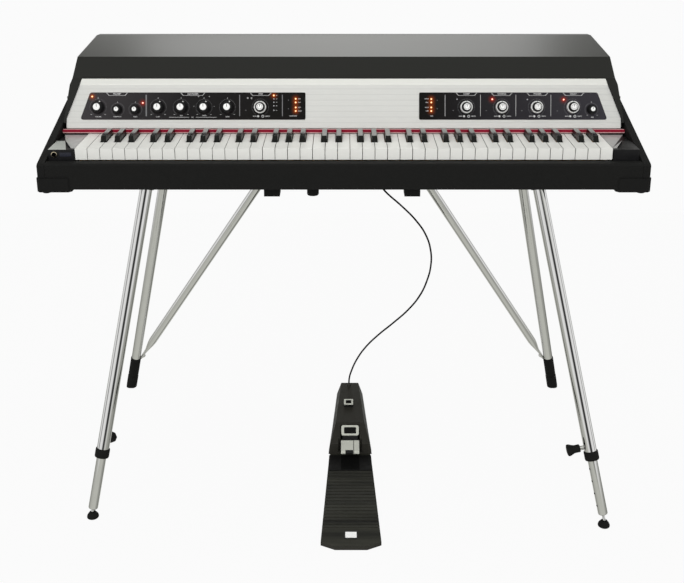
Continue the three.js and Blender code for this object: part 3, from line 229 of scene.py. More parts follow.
world = bpy.data.worlds.new("studio")
bpy.context.scene.world = world
world.use_nodes = True
sky = world.node_tree
sky.nodes.clear()
parts = add(sky, "SeparateXYZ", add(sky, "TexCoord").outputs["Generated"]).outputs
turn = result(sky, "ARCTAN2", parts["X"], result(sky, "MULTIPLY", parts["Y"], -1))
around = result(sky, "MULTIPLY_ADD", turn, 0.5 / math.pi, 0.5)
level = result(sky, "MULTIPLY_ADD", parts["Z"], 0.5, 0.5)


def bands(stops, tint=(1, 1, 1)):
    """Brightness around the studio, in degrees from the front, to the right."""
    return ramp(sky, around, [(0.5 + degrees / 360, shade(tint, v)) for degrees, v in stops])


def between(low, high, below, above):
    """Passes from one picture to another as the direction rises."""
    share = ramp(sky, level, [(low, (0,) * 3), (high, (1,) * 3)])
    return add(sky, "MixRGB", share, below, above).outputs[0]


near_floor = bands([
    (-180, 0.6), (-150, 0.6), (-120, 0.25), (-95, 0.45), (-60, 0.55), (-30, 0.6), (30, 0.6), (43, 0.6),
    (60, 0.42), (90, 0.38), (115, 0.2), (135, 0.25), (150, 0.6), (180, 0.6),
], (1, 1.01, 0.93))
eye_level = bands([
    (-180, 0.7), (-130, 0.7), (-126, 0.35), (-122, 0.35), (-118, 0.9), (-80, 0.9), (-76, 0.3), (-64, 0.3),
    (-58, 0.95), (-24, 0.95), (-12, 0.6), (-6, 0.06), (20, 0.04), (27, 0.5), (32, 0.95), (68, 0.95),
    (72, 0.3), (79, 0.3), (84, 0.95), (118, 0.95), (121, 0.4), (128, 0.4), (132, 0.8), (180, 0.8),
])
overhead = bands([
    (-180, 1.15), (-172, 1.0), (-163, 0.45), (-140, 0.35), (-60, 0.75), (60, 0.75), (140, 0.35),
    (163, 0.35), (172, 0.95), (180, 1.15),
], (1, 1.01, 0.95))
SKY_STRENGTH = 0.9
picture = between(0.58, 0.64, between(0.32, 0.4, near_floor, eye_level), overhead)
banded = add(sky, "Background", picture, SKY_STRENGTH)
soft_sky = ramp(sky, level, [(0.5, (0.5, 0.5, 0.5)), (0.9, (0.72, 0.72, 0.71))])
even = add(sky, "Background", soft_sky, SKY_STRENGTH)
plain = add(sky, "Background", PALE, 1.0)
rays = add(sky, "LightPath").outputs
mirrored = result(sky, "MAXIMUM", rays["Is Glossy Ray"], rays["Is Transmission Ray"])
surroundings = add(sky, "MixShader", mirrored, even.outputs[0], banded.outputs[0])
add(sky, "OutputWorld", for_camera(sky, surroundings.outputs[0], plain.outputs[0]))
FLOOR_HALF, FLOOR_NEAR, FLOOR_FAR = 1.6, -1.3, 1.6
floor_material, tree, bsdf = new_material("pale_floor")
fill(bsdf, Base_Color=(0.5, 0.52, 0.48, 1), Roughness=0.9)
white = add(tree, "Emission", PALE, 0.975)
shadowed = add(tree, "BsdfDiffuse", (0.022, 0.022, 0.022, 1))
lit_floor = add(tree, "AddShader", white.outputs[0], shadowed.outputs[0])
fill(tree.nodes["Material Output"], for_camera(tree, bsdf.outputs[0], lit_floor.outputs[0]))
floor_mesh = bpy.data.meshes.new("floor")
floor_mesh.from_pydata([(-FLOOR_HALF, FLOOR_NEAR, 0), (FLOOR_HALF, FLOOR_NEAR, 0),
                        (FLOOR_HALF, FLOOR_FAR, 0), (-FLOOR_HALF, FLOOR_FAR, 0)], [], [[0, 1, 2, 3]])
floor_mesh.materials.append(floor_material)
floor = in_scene("floor", floor_mesh)
floor.visible_glossy = False
floor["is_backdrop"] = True


def soft_light(name, place, aim, size, power, mirrored=False):
    data = bpy.data.lights.new(name, "AREA")
    data.shape = "RECTANGLE"
    data.size, data.size_y = size
    data.energy = power
    obj = in_scene(name, data)
    obj.location = place
    obj.rotation_euler = (Vector(aim) - Vector(place)).to_track_quat("-Z", "Y").to_euler()
    obj.visible_glossy = mirrored


soft_light("key_light", (-1.0, -2.6, 3.0), (0, 0, 0.7), (2.6, 1.6), 50)
soft_light("fill_light", (0.35, -3.1, 1.5), (0, 0, 0.7), (2.0, 1.6), 42)
soft_light("top_light", (0, 0.6, 3.4), (0, 0.1, 0.8), (3.0, 1.6), 20)
soft_light("back_light", (0, 3.1, 2.5), (0, 0.1, 0.9), (2.2, 1.3), 10, True)


# Case: side walls, front rail and back panel, of board in a grained black vinyl covering.
# The corner protectors and their feet are plain black rubber. They are one solid with the rail or
# the panel that they are screwed to, so a face's place tells which of the two it is.

VINYL_COLOUR = (0.0102, 0.0102, 0.0098)
VINYL, tree, bsdf = new_material("black_vinyl")
cells = add(tree, "TexVoronoi", position(tree), Scale=900, feature="SMOOTH_F1").outputs["Distance"]
tint = ramp(tree, cells, [(0.1, shade(VINYL_COLOUR, 1.25)), (0.6, shade(VINYL_COLOUR, 0.6))])
fill(bsdf, Base_Color=tint, Roughness=0.68, Specular_IOR_Level=0.1)
emboss(bsdf, cells, 0.35, 0.0003, invert=True)
BASE = 676.0
UNDERSIDE = (BASE - 0.2) / 1000
PROTECTOR_TOP = (BASE + 22.6) / 1000
PROTECTOR_START = 0.5075
SIDE_FACE = 0.5702
FRONT_FACE, BACK_FACE = -0.2152, 0.3752


def soften(obj, width, segments=2, angle=30, weld=False):
    """Rounds a piece's sharp edges; a carried-over node is welded first."""
    if weld:
        w = obj.modifiers.new("weld", "WELD")
        w.merge_threshold = 0.00001
    b = obj.modifiers.new("rounded_edges", "BEVEL")
    b.width = width / 1000
    b.segments = segments
    b.limit_method = "ANGLE"
    b.angle_limit = math.radians(angle)
    b.harden_normals = True
    return obj


def carry(name, material, width=0, segments=2, angle=30, extra=(), choose=None, smooth=False):
    """Keeps a CAD node, with a better material on each of its faces and rounded edges."""
    obj = frame["nodes"][name]
    mesh = obj.data
    mesh.materials.clear()
    for m in (material, *extra):
        mesh.materials.append(m)
    for polygon in mesh.polygons:
        polygon.material_index = choose(polygon.center, polygon.normal) if choose else 0
        polygon.use_smooth = smooth
    if width:
        soften(obj, width, segments, angle, weld=True)
    return obj


def on_protector(centre, normal):
    outer = abs(centre.x) > SIDE_FACE or centre.z < UNDERSIDE
    low_end = abs(centre.x) > PROTECTOR_START and centre.z < PROTECTOR_TOP
    return 1 if outer or (low_end and (centre.y < FRONT_FACE or centre.y > BACK_FACE)) else 0


carry("side_panel_left", VINYL, 0.8)
carry("side_panel_right", VINYL, 0.8)
carry("front_rail", VINYL, 1.0, 3, extra=(RUBBER,), choose=on_protector)
carry("back_panel", VINYL, 1.6, 3, extra=(RUBBER,), choose=on_protector)


# Hood: a satin black moulding whose top rolls over to the front in a soft edge.
# Its arched sheet is shaded evenly, and every other edge is rounded.

MOULDED = grainy("moulded_black", (0.0052, 0.0053, 0.0044), 0.3, scale=420, relief=0.01, spread=0.04,
                 specular=0.42, rough_spread=0.0)
hood = carry("hood", MOULDED, 3.0, 4, angle=24, smooth=True)
hood.modifiers["rounded_edges"].harden_normals = False
even_shading = hood.modifiers.new("even_shading", "WEIGHTED_NORMAL")
even_shading.mode = "FACE_AREA"
even_shading.keep_sharp = False


# Name rail: brushed aluminium, folded over at its top, with fine grooves along its whole length.
# A bare plate of the same metal sits where a name would be. It is the first mesh that is made here,
# so the ways of making one are in this section.

RAIL_METAL, tree, bsdf = new_material("grooved_aluminium")
streaks = grain(tree, 40, (1, 60, 60), 6, 0.7)
grooves = add(tree, "TexWave", position(tree), Scale=29.5, Distortion=0.0, wave_type="BANDS",
              bands_direction="Z")
line = ramp(tree, grooves.outputs["Fac"], [(0.0, (0,) * 3), (0.14, (1,) * 3)])
tint = ramp(tree, streaks, [(0.3, (0.69, 0.69, 0.67)), (0.7, (0.77, 0.77, 0.75))])
shadow = ramp(tree, line, [(0.0, (0.93, 0.93, 0.93)), (1.0, (1, 1, 1))])
colour = add(tree, "MixRGB", 1.0, tint, shadow, blend_type="MULTIPLY").outputs[0]
fill(bsdf, Base_Color=colour, Metallic=0.6, Roughness=0.45)
emboss(bsdf, line, 0.12, 0.0003)
RAIL_PLAIN = grainy("brushed_aluminium", (0.82, 0.82, 0.785), 0.42, metal=0.5, scale=40,
                    stretch=(1, 60, 60), relief=0.05, spread=0.05)
FOLD = (BASE + 162.1) / 1000
carry("name_rail", RAIL_METAL, 1.3, 4, extra=(RAIL_PLAIN,), choose=lambda c, n: 1 if c.z > FOLD else 0)

AHEAD = 215.0
LIP = (148, BASE + 79.6)
UP = (0.29926, 0.95418)
OUT = (-0.95418, 0.29926)
AXIS = (0, *OUT)
UPRIGHT = (0, *UP)


def P(x, y, z):
    """A point of the frame, in metres."""
    return Vector((x, y - AHEAD, z)) / 1000


def rail(x, v, out=0.0):
    """A point on the rail: x along it, v up from its lip, out from its face."""
    return (x, LIP[0] + v * UP[0] + out * OUT[0], LIP[1] + v * UP[1] + out * OUT[1])


def turn_outwards(mesh):
    b = bmesh.new()
    b.from_mesh(mesh)
    bmesh.ops.recalc_face_normals(b, faces=b.faces)
    b.to_mesh(mesh)
    b.free()


class Soup:
    """Collects shapes, in millimetres, and makes one piece of them."""

    def __init__(self):
        self.points, self.faces, self.ids = [], [], []

    def shape(self, points, faces, material=0):
        start = len(self.points)
        self.points += [tuple(p) for p in points]
        self.faces += [[start + i for i in f] for f in faces]
        self.ids += material if isinstance(material, list) else [material] * len(faces)

    def loft(self, rings, material=0):
        """A skin over rings of points, with a cap at either end."""
        n = len(rings[0])
        points = [p for ring_points in rings for p in ring_points]
        last = len(points) - n
        faces = [[s + i, s + (i + 1) % n, s + n + (i + 1) % n, s + n + i]
                 for s in range(0, last, n) for i in range(n)]
        self.shape(points, faces + [list(range(n))[::-1], list(range(last, last + n))], material)

    def prism(self, outline, low, high, place, material=0):
        """An outline of (a, b) carried from low to high; place turns (a, b, t) into a point."""
        self.loft([[place(a, b, t) for a, b in outline] for t in (low, high)], material)

    def box(self, x0, x1, y0, y1, z0, z1, material=0):
        self.prism([(x0, y0), (x1, y0), (x1, y1), (x0, y1)], z0, z1, lambda a, b, t: (a, b, t), material)

    def turned(self, profile, origin, axis, material=0, steps=48, flutes=0, depth=0, fluted=(), up=None):
        """A turned shape of (radius, height) points about an axis; fluted names the profile's wavy points."""
        w = Vector(axis).normalized()
        u = Vector(up) if up else (Vector((1, 0, 0)) if abs(w.x) < 0.8 else Vector((0, 1, 0)))
        u = (u - w * u.dot(w)).normalized()
        v = w.cross(u)
        start = Vector(origin)
        points, rows = [], []
        for k, (r, h) in enumerate(profile):
            row = []
            for i in range(steps if r else 1):
                a = 2 * math.pi * i / steps
                wave = 1 - depth * (0.5 - 0.5 * math.cos(flutes * a)) if k in fluted else 1
                row.append(len(points))
                points.append(start + w * h + (u * math.cos(a) + v * math.sin(a)) * (r * wave))
            rows.append(row)
        faces, ids = [], []
        for k, (a, b) in enumerate(zip(rows, rows[1:])):
            if len(a) == len(b) == 1:
                continue
            for i in range(steps):
                j = (i + 1) % steps
                corners = (a[i % len(a)], a[j % len(a)], b[j % len(b)], b[i % len(b)])
                faces.append(list(dict.fromkeys(corners)))
                ids.append(material[k] if isinstance(material, list) else material)
        self.shape(points, faces, ids)

    def made(self, name, materials, slot, fixed=None, moving=None, smooth=40):
        """Makes the piece in place of a node fixed to the case, of a moving one, or of none."""
        mesh = bpy.data.meshes.new(name)
        mesh.from_pydata([P(*p) for p in self.points], [], self.faces)
        for m in materials:
            mesh.materials.append(m)
        mesh.polygons.foreach_set("material_index", self.ids)
        mesh.validate()
        obj = in_scene(name, mesh)
        turn_outwards(mesh)
        if smooth:
            mesh.shade_smooth()
            mesh.set_sharp_from_angle(angle=math.radians(smooth))
        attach(obj, moving or "case")
        if fixed or moving:
            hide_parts(fixed or moving)
        return obj


def rounded(x0, x1, y0, y1, r, steps=5):
    """A rectangle's outline with round corners."""
    out = []
    corners = ((x1 - r, y1 - r, 0), (x0 + r, y1 - r, 90), (x0 + r, y0 + r, 180), (x1 - r, y0 + r, 270))
    for cx, cy, start in corners:
        for i in range(steps + 1):
            a = math.radians(start + 90 * i / steps)
            out.append((cx + r * math.cos(a), cy + r * math.sin(a)))
    return out


name_place = Soup()
name_place.prism(rounded(-15, 47, 34.5, 51, 1.5), 0.05, 0.7, rail)
name_place.made("bare_name_plate", [RAIL_METAL], "brushed_aluminium")


# Control panels: two black plates on the rail, with a painted reflection that lightens them towards its ends.
# Their outer ends slope like the ends of the rail, and their corners are round. Their printing,
# lamps and thrown light are pieces of their own.

PANEL = grainy("panel_black", (1.0, 1.0, 1.0), 0.5, scale=500, relief=0.03, spread=0.08, specular=0.06)


def share_along(tree, axis, low, high):
    """How far a point lies from low to high along one axis, from 0 to 1."""
    axes = add(tree, "SeparateXYZ", position(tree))
    return add(tree, "MapRange", axes.outputs[axis], low, high).outputs["Result"]


tree = PANEL.node_tree
bsdf = tree.nodes["Principled BSDF"]
# The plates' black, with a painted reflection that lightens it towards both ends of the rail.
black_and_painted_reflection = ramp(tree, share_along(tree, "X", -0.55, 0.55), [
    (0.03, (0.04, 0.037, 0.039)), (0.22, (0.012, 0.0114, 0.0116)), (0.45, (0.0062, 0.0058, 0.0052)),
    (0.65, (0.0062, 0.0058, 0.0052)), (0.97, (0.034, 0.032, 0.038)),
])
plain_tint = bsdf.inputs["Base Color"].links[0].from_socket
fill(bsdf, Base_Color=add(tree, "MixRGB", 1.0, plain_tint, black_and_painted_reflection, blend_type="MULTIPLY").outputs[0])
PLATE_OUT = 1.3
PLATE_LOW, PLATE_HIGH = 17.6, 71.5
OUTER_LOW, OUTER_HIGH = 522.4, 502.4
CORNER_CUTS = (3.2, 6.5, 4, 3.2)
CORNER_STEPS = 5


def plate_outline(inner, sign):
    corners = [(inner, PLATE_LOW), (OUTER_LOW, PLATE_LOW), (OUTER_HIGH, PLATE_HIGH), (inner, PLATE_HIGH)]
    out = []
    for i, (here, reach) in enumerate(zip(corners, CORNER_CUTS)):
        before, after = Vector(corners[i - 1]), Vector(corners[(i + 1) % 4])
        here = Vector(here)
        start = here + (before - here).normalized() * reach
        end = here + (after - here).normalized() * reach
        for k in range(CORNER_STEPS + 1):
            t = k / CORNER_STEPS
            out.append(start * (1 - t) ** 2 + here * 2 * t * (1 - t) + end * t ** 2)
    return [(sign * p.x, p.y) for p in out]


for plate_name, inner, sign in (("control_panel_left", 75.9, -1), ("control_panel_right", 149.2, 1)):
    plate = Soup()
    plate.prism(plate_outline(inner, sign), 0.3, PLATE_OUT, rail)
    soften(plate.made(plate_name + "_plate", [PANEL], "panel_black", fixed=plate_name, smooth=0), 0.3)


# Panel printing: dividers, header tabs, dotted scales, small marks and plain function words.
# Each is pale print on its plate, made as a thin raised layer.

PRINT = grainy("panel_print", (0.5, 0.5, 0.5), 0.6, scale=900, relief=0, spread=0.1)
FAINT = grainy("faint_print", (0.15, 0.15, 0.155), 0.6, scale=900, relief=0, spread=0.1)
PRINT_OUT = PLATE_OUT + 0.02
PRINT_TOP = PLATE_OUT + 0.09
PRINT_FOOT = 0.5
DOTS, DOT_SWEEP, DOT = 29, 290, 0.9
DISC_SIDES, CIRCLE_SIDES = 16, 24
printed = Soup()


def stroke(a, b, width=0.7, material=0):
    a, b = Vector(a), Vector(b)
    along = (b - a).normalized()
    across = Vector((-along.y, along.x)) * width / 2
    printed.prism([a - across, b - across, b + across, a + across], PRINT_OUT, PRINT_TOP, rail, material)


def dash(x, v, half, width, material=0):
    stroke((x - half, v), (x + half, v), width, material)


def dotted_ring(x, v, radius):
    for i in range(DOTS):
        a = math.radians(90 + DOT_SWEEP / 2 - DOT_SWEEP * i / (DOTS - 1))
        c = Vector((math.cos(a), math.sin(a)))
        here = Vector((x, v))
        stroke(here + c * (radius - DOT / 2), here + c * (radius + DOT / 2), DOT, 1)


def tube(bore, radius, low, high):
    return [(bore, low), (radius, low), (radius, high), (bore, high), (bore, low)]


def spot(x, v, radius, material=0):
    disc = [(0, PRINT_TOP), (radius, PRINT_TOP), (radius, PRINT_FOOT), (0, PRINT_FOOT)]
    printed.turned(disc, rail(x, v), AXIS, material, DISC_SIDES)


def circle(x, v, radius, width):
    band = tube(radius - width / 2, radius + width / 2, PRINT_TOP, PRINT_FOOT)
    printed.turned(band, rail(x, v), AXIS, 0, CIRCLE_SIDES)


def words(text, x, v, size, align="CENTER"):
    """Plain function words, such as a control's name, as thin raised print."""
    font = bpy.data.curves.new("words", "FONT")
    font.body = text
    font.size = size / 1000
    font.align_x = align
    font.align_y = "CENTER"
    font.extrude = 0.00002
    font.offset = 0.00007
    font.resolution_u = 2
    holder = in_scene("words", font)
    mesh = bpy.data.meshes.new_from_object(holder)
    bpy.data.objects.remove(holder)
    basis = Matrix(((1, 0, 0), (0, UP[0], OUT[0]), (0, UP[1], OUT[1]))).to_4x4()
    mesh.transform(Matrix.Translation(P(*rail(x, v, PRINT_OUT + 0.05))) @ basis)
    return mesh


# Dividers, and the tab over each group of controls
DIVIDER_LOW, DIVIDER_HIGH = 24.5, 66.8
for x, width in ((-391.4, 2.6), (-206.3, 1.6), (-121.7, 1.6)):
    stroke((x, DIVIDER_LOW), (x, DIVIDER_HIGH), width, 1)
for x in (200.6, 270.7, 340.8, 410.2):
    stroke((x, DIVIDER_LOW), (x, DIVIDER_HIGH), 0.7)
HEADERS = [
    ("PREAMP", -449.2, 20.8), ("EQUALISER", -298.9, 24), ("PAN", -164.6, 20.8), ("COMP", 243, 20.8),
    ("CHORUS", 312.8, 20.8), ("PHASER", 383.5, 20.8), ("DELAY", 454.9, 20.8),
]
TAB_TOP, TAB_LOW, TAB_SLANT = PLATE_HIGH - 0.5, 65.4, 5
for text, x, half in HEADERS:
    stroke((x - half, TAB_TOP), (x - half + TAB_SLANT, TAB_LOW), 0.9)
    stroke((x - half + TAB_SLANT, TAB_LOW), (x + half - TAB_SLANT, TAB_LOW), 0.5)
    stroke((x + half - TAB_SLANT, TAB_LOW), (x + half, TAB_TOP), 0.9)

# The scale round each control: a single one is a name, its place and the radius of its body and cap.
MIDDLE = 42.2
SMALL_MIDDLE = 37.8
LOW_LINE = 24.4
SINGLES = [
    ("volume_knob", -486.7, MIDDLE, 13.2, 6.7), ("preamp_knob_inner", -448.2, SMALL_MIDDLE, 9.6, 4.4),
    ("preamp_knob_outer", -412.9, SMALL_MIDDLE, 9.6, 4.4), ("tone_knob_1", -367.8, MIDDLE, 12.8, 6.6),
    ("tone_knob_2", -322.2, MIDDLE, 12.8, 6.6), ("tone_knob_3", -276.9, MIDDLE, 12.8, 6.6),
    ("tone_knob_4", -230.5, MIDDLE, 12.8, 6.6), ("mix_knob", 490.5, SMALL_MIDDLE, 9.6, 4.4),
]
DUALS = [("drive", -165.5), ("rate_1", 242.4), ("rate_2", 312.4), ("rate_3", 381.7), ("rate_4", 452.9)]
for name, x, v, body, cap in SINGLES:
    dotted_ring(x, v, body + 3.2)
    if v == MIDDLE:
        stroke((x, v + 16.8), (x, v + 19.4), 0.8)
        dash(x - 13.5, 27.9, 1.4, 0.6)
        dash(x + 13.5, 27.9, 1.4, 0.6)
    else:
        stroke((x, v + 13.4), (x, v + 15.4), 0.7)
for name, x in DUALS:
    dotted_ring(x, MIDDLE, 16.4)
    spot(x - 4.2, LOW_LINE, 2.1)
    circle(x + 5, LOW_LINE, 2.1, 1.1)

# Small marks: dots and dashes by the controls, two arrows, and a dash by each lamp of the level row.
TONE_X, MIX_X = -276.9, 492.3
for sign in (-1, 1):
    spot(TONE_X + sign * 10.7, 63.4, 0.9)
    stroke((TONE_X + sign * 19, 44), (TONE_X + sign * 21, 44), 0.6)
    dash(MIX_X + sign * 9.9, 26.4, 1.2, 0.6)
stroke((-346.4, 22.4), (-306.7, 22.4), 0.6)
stroke((-292.8, 22.4), (-252.3, 22.4), 0.6)
for x in (-190.2, -182.8):
    stroke((x, 58.4), (x, 61.6), 0.9)
    stroke((x - 1.5, 60.2), (x, 61.6), 0.7)
    stroke((x + 1.5, 60.2), (x, 61.6), 0.7)
stroke((-195.6, 36.3), (-192.6, 36.3), 0.8, 1)
for x, v in ((-109.8, 56.2), (-109.8, 39.3), (185, 56), (185, 39.3)):
    spot(x, v, 0.8, 1)
for x, v in ((216.8, 35.9), (282.3, 35.3), (352.7, 35.3), (423.2, 34.9)):
    dash(x, v, 1.3, 0.8, 1)
for v in (65.5, 58.6, 52.1, 45, 36):
    stroke((-134.4, v), (-132, v), 0.8)
printed.made("panel_printing", [PRINT, FAINT], "panel_black", smooth=0)

NAMES = [
    ("VOLUME", -486.7, 23.4, 3.1), ("OVERDRIVE", -448.6, 23.4, 2.9), ("GAIN", -413.1, 23.4, 3.1),
    ("LOW", -368.6, 23.4, 3.2), ("MID", -321.8, 25.6, 3.2), ("FREQ", -276.2, 25.6, 3.2),
    ("EQ", -299.8, 22.4, 3.0), ("HIGH", -230.5, 23.4, 3.2), ("MIX", 492.5, 22.4, 3.2),
    ("WAVE SHAPE", -100.4, 25, 2.5), ("TYPE", 174.1, 24.6, 2.5),
]
CHOICES = [("SINE", "ROOM", 58.8), ("SAW", "HALL", 51.7), ("STEP", "PLATE", 41.8), ("HOLD", "TAPE", 34.7)]
label_meshes = [words(text, x, 68.5, 4.3) for text, x, half in HEADERS]
label_meshes += [words(*name) for name in NAMES]
for left_word, right_word, v in CHOICES:
    label_meshes.append(words(left_word, -90.9, v, 2.6, "LEFT"))
    label_meshes.append(words(right_word, 168.1, v, 2.6, "RIGHT"))
for name, x in DUALS:
    label_meshes.append(words("RATE", x - 7.8, LOW_LINE, 2.8, "RIGHT"))
    label_meshes.append(words("DEPTH", x + 10.2, LOW_LINE, 2.8, "LEFT"))
labels = Soup()
for mesh in label_meshes:
    points = [(v.co.x * 1000, v.co.y * 1000 + AHEAD, v.co.z * 1000) for v in mesh.vertices]
    labels.shape(points, [list(p.vertices) for p in mesh.polygons])
    bpy.data.meshes.remove(mesh)
labels.made("panel_words", [PRINT], "panel_black", smooth=0)


# Indicator lamps: small moulded domes in the plates, lit orange or red, or unlit and grey.
# Each lit one is palest at the top of its dome, and its fading glow on the plate round it is painted light,
# on thin emitting discs.

LAMP_RADIUS, DIM_RADIUS = 1.6, 1.3
DOME_FOOT, DOME_SHARE = 0.2, 0.7


def glowing(name, colour, core):
    """A lit lamp's material, coloured by how far a point lies out from the rail's face."""
    m, tree, bsdf = new_material(name)
    out = add(tree, "VectorMath", position(tree), AXIS, operation="DOT_PRODUCT").outputs["Value"]
    foot, top = [P(*rail(0, 0, PLATE_OUT + DOME_FOOT + h)).dot(Vector(AXIS))
                 for h in (0, LAMP_RADIUS * DOME_SHARE)]
    climb = add(tree, "MapRange", out, foot, top).outputs["Result"]
    light = ramp(tree, climb, [(0.25, colour), (1.0, core)])
    fill(bsdf, Emission_Color=light, Base_Color=light, Emission_Strength=1.0)
    return m


LAMP_COLUMNS = [
    (-498.3, "orange", [63.4]), (-398.1, "red", [50.7]), (-138.6, "orange", [65.5]),
    (-138.6, "dim", [58.6, 52.1, 45, 36]), (-95.3, "orange", [58.8, 51.7, 41.8, 34.7]),
    (173.3, "orange", [58.4, 51.7, 41.8, 34.7]), (224.4, "dim", [58]), (294, "red", [58]),
    (363.6, "dim", [57.6]), (435.5, "red", [57.2]),
]
LAMPS = [(x, v, kind) for x, kind, places in LAMP_COLUMNS for v in places]
LAMP_ORANGE = glowing("lamp_orange", (1.0, 0.36, 0.12), (1.0, 0.72, 0.42))
LAMP_RED = glowing("lamp_red", (1.0, 0.3, 0.2), (1.0, 0.66, 0.54))
LAMP_DIM = grainy("lamp_dim", (0.4, 0.4, 0.42), 0.25, relief=0)
LAMP_KINDS = {"orange": 0, "red": 1, "dim": 2}
lamps = Soup()
for x, v, kind in LAMPS:
    radius = DIM_RADIUS if kind == "dim" else LAMP_RADIUS
    rise = radius * DOME_SHARE
    dome = [(radius * math.cos(a), DOME_FOOT + rise * math.sin(a)) for a in (0, 0.4, 0.8, 1.2)]
    profile = [(0, -0.3), (radius, -0.3), *dome, (0, DOME_FOOT + rise)]
    lamps.turned(profile, rail(x, v, PLATE_OUT), AXIS, LAMP_KINDS[kind], steps=16)
lamps.made("indicator_lamps", [LAMP_ORANGE, LAMP_RED, LAMP_DIM], "panel_black")

# Painted light: glowing discs laid on the plate round each lit lamp, fading outwards.
GLOW_RADIUS = 11.0
GLOW_STEPS = 24
GLOW_RINGS = [(0.0, 1.0), (0.17, 0.5), (0.3, 0.2), (0.5, 0.075), (0.75, 0.02), (1.0, 0.0)]
GLOW_OUT = PRINT_TOP + 0.02
glow_profile = [(GLOW_RADIUS * share, 0) for share, strength in GLOW_RINGS]
disc_strengths = [1.0] + [strength for share, strength in GLOW_RINGS[1:] for i in range(GLOW_STEPS)]
glow_discs = Soup()
glow_share = []
for x, v, kind in LAMPS:
    if kind != "dim":
        glow_discs.turned(glow_profile, rail(x, v, GLOW_OUT), AXIS, LAMP_KINDS[kind], GLOW_STEPS)
        glow_share += disc_strengths


def thrown_light(name, colour):
    m, tree, bsdf = new_material(name)
    tree.nodes.remove(bsdf)
    fade = add(tree, "Attribute", attribute_name="glow").outputs["Fac"]
    clear = add(tree, "BsdfTransparent").outputs[0]
    light = add(tree, "Emission", (*colour, 1), 1.0).outputs[0]
    both = add(tree, "MixShader", fade, clear, light).outputs[0]
    fill(tree.nodes["Material Output"], both)
    return m


THROWN = [thrown_light("orange_glow", (0.85, 0.15, 0.02)), thrown_light("red_glow", (0.8, 0.05, 0.02))]
glow = glow_discs.made("lamp_glow", THROWN, "panel_black", smooth=0)
glow_layer = glow.data.attributes.new("glow", "FLOAT", "POINT")
glow_layer.data.foreach_set("value", glow_share)


# Knobs: a fluted black moulded body with a turned light cap and a dark pointer.
# The dual controls have a milled bright ring that turns round a bright knob. Each knob and ring
# sits on its own body, just clear of the plate.

KNOB_BLACK = grainy("knob_black", (0.007, 0.007, 0.0075), 0.46, scale=600, relief=0.05, specular=0.25)
KNOB_CAP = grainy("knob_cap", (0.78, 0.78, 0.77), 0.36, metal=0.15, scale=500, relief=0.03, spread=0.04)
RING_METAL = grainy("knob_ring", (0.72, 0.72, 0.71), 0.34, metal=0.4, scale=400, relief=0.04, spread=0.06)
KNOB_SEAT = PLATE_OUT + 0.3


def pointer(soup, x, v, start, end, width, low, high, material, lean=0):
    """A line on a knob, from start to end out from its axis, turned lean degrees to the right."""
    a = math.radians(lean)
    out, across = Vector((math.sin(a), math.cos(a))), Vector((math.cos(a), -math.sin(a))) * width / 2
    near, far = Vector((x, v)) + out * start, Vector((x, v)) + out * end
    soup.prism([near - across, near + across, far + across, far - across], low, high, rail, material)


for name, x, v, r, cap in SINGLES:
    knob = Soup()
    seat = rail(x, v, KNOB_SEAT)
    skirt = [(0, 0), (r, 0), (r, 1.6), (r * 0.96, 2.4), (r * 0.82, 12.4), (r * 0.77, 13.5),
             (cap + 0.3, 14), (0, 14)]
    knob.turned(skirt, seat, AXIS, 0, 72, 18, 0.04, (3, 4, 5), UPRIGHT)
    knob.turned([(cap, 13.4), (cap, 14.6), (cap - 0.5, 15), (0, 15)], seat, AXIS, 1, 48)
    pointer(knob, x, v, 0.2, cap - 0.6, 0.9, KNOB_SEAT + 14.9, KNOB_SEAT + 15.05, 0)
    if v == MIDDLE:
        pointer(knob, x, v, r * 0.84, r * 0.99, 1.7, KNOB_SEAT + 2, KNOB_SEAT + 9.5, 1, 24)
    knob.made(name + "_turned", [KNOB_BLACK, KNOB_CAP], "knob_black", moving=name, smooth=35)

RING_PROFILE = [(9.5, 0), (12.3, 0), (12.3, 6.8), (12, 8.3), (11.4, 8.9), (10.3, 8.9), (9.9, 8.4),
                (9.5, 7.8), (9.5, 0)]
KNOB_PROFILE = [(0, 0), (8.7, 0), (8.7, 8.5), (8.2, 9.8), (7.0, 15.4), (6.6, 15.5), (6.6, 16.6),
                (6.2, 17), (5.0, 17), (4.9, 16.8), (4.5, 16.8), (4.4, 17), (0, 17)]
KNOB_PARTS = [1, 1, 1, 1, 1, 0, 0, 0, 1, 1, 1, 0]
for name, x in DUALS:
    seat = rail(x, MIDDLE, KNOB_SEAT)
    ring = Soup()
    ring.turned(RING_PROFILE, seat, AXIS, 0, 72, 24, 0.03, (1, 2))
    pointer(ring, x, MIDDLE, 10.2, 12.7, 0.9, KNOB_SEAT + 7.6, KNOB_SEAT + 9, 1)
    ring.made(name + "_ring_turned", [RING_METAL, KNOB_BLACK], "knob_silver",
              moving=name + "_ring", smooth=35)
    knob = Soup()
    knob.turned(KNOB_PROFILE, seat, AXIS, KNOB_PARTS, 72, 20, 0.04, (3, 4), UPRIGHT)
    pointer(knob, x, MIDDLE, 0.4, 4.4, 1.0, KNOB_SEAT + 16.6, KNOB_SEAT + 17.03, 1)
    knob.made(name + "_knob_turned", [KNOB_CAP, KNOB_BLACK], "knob_silver",
              moving=name + "_knob", smooth=35)
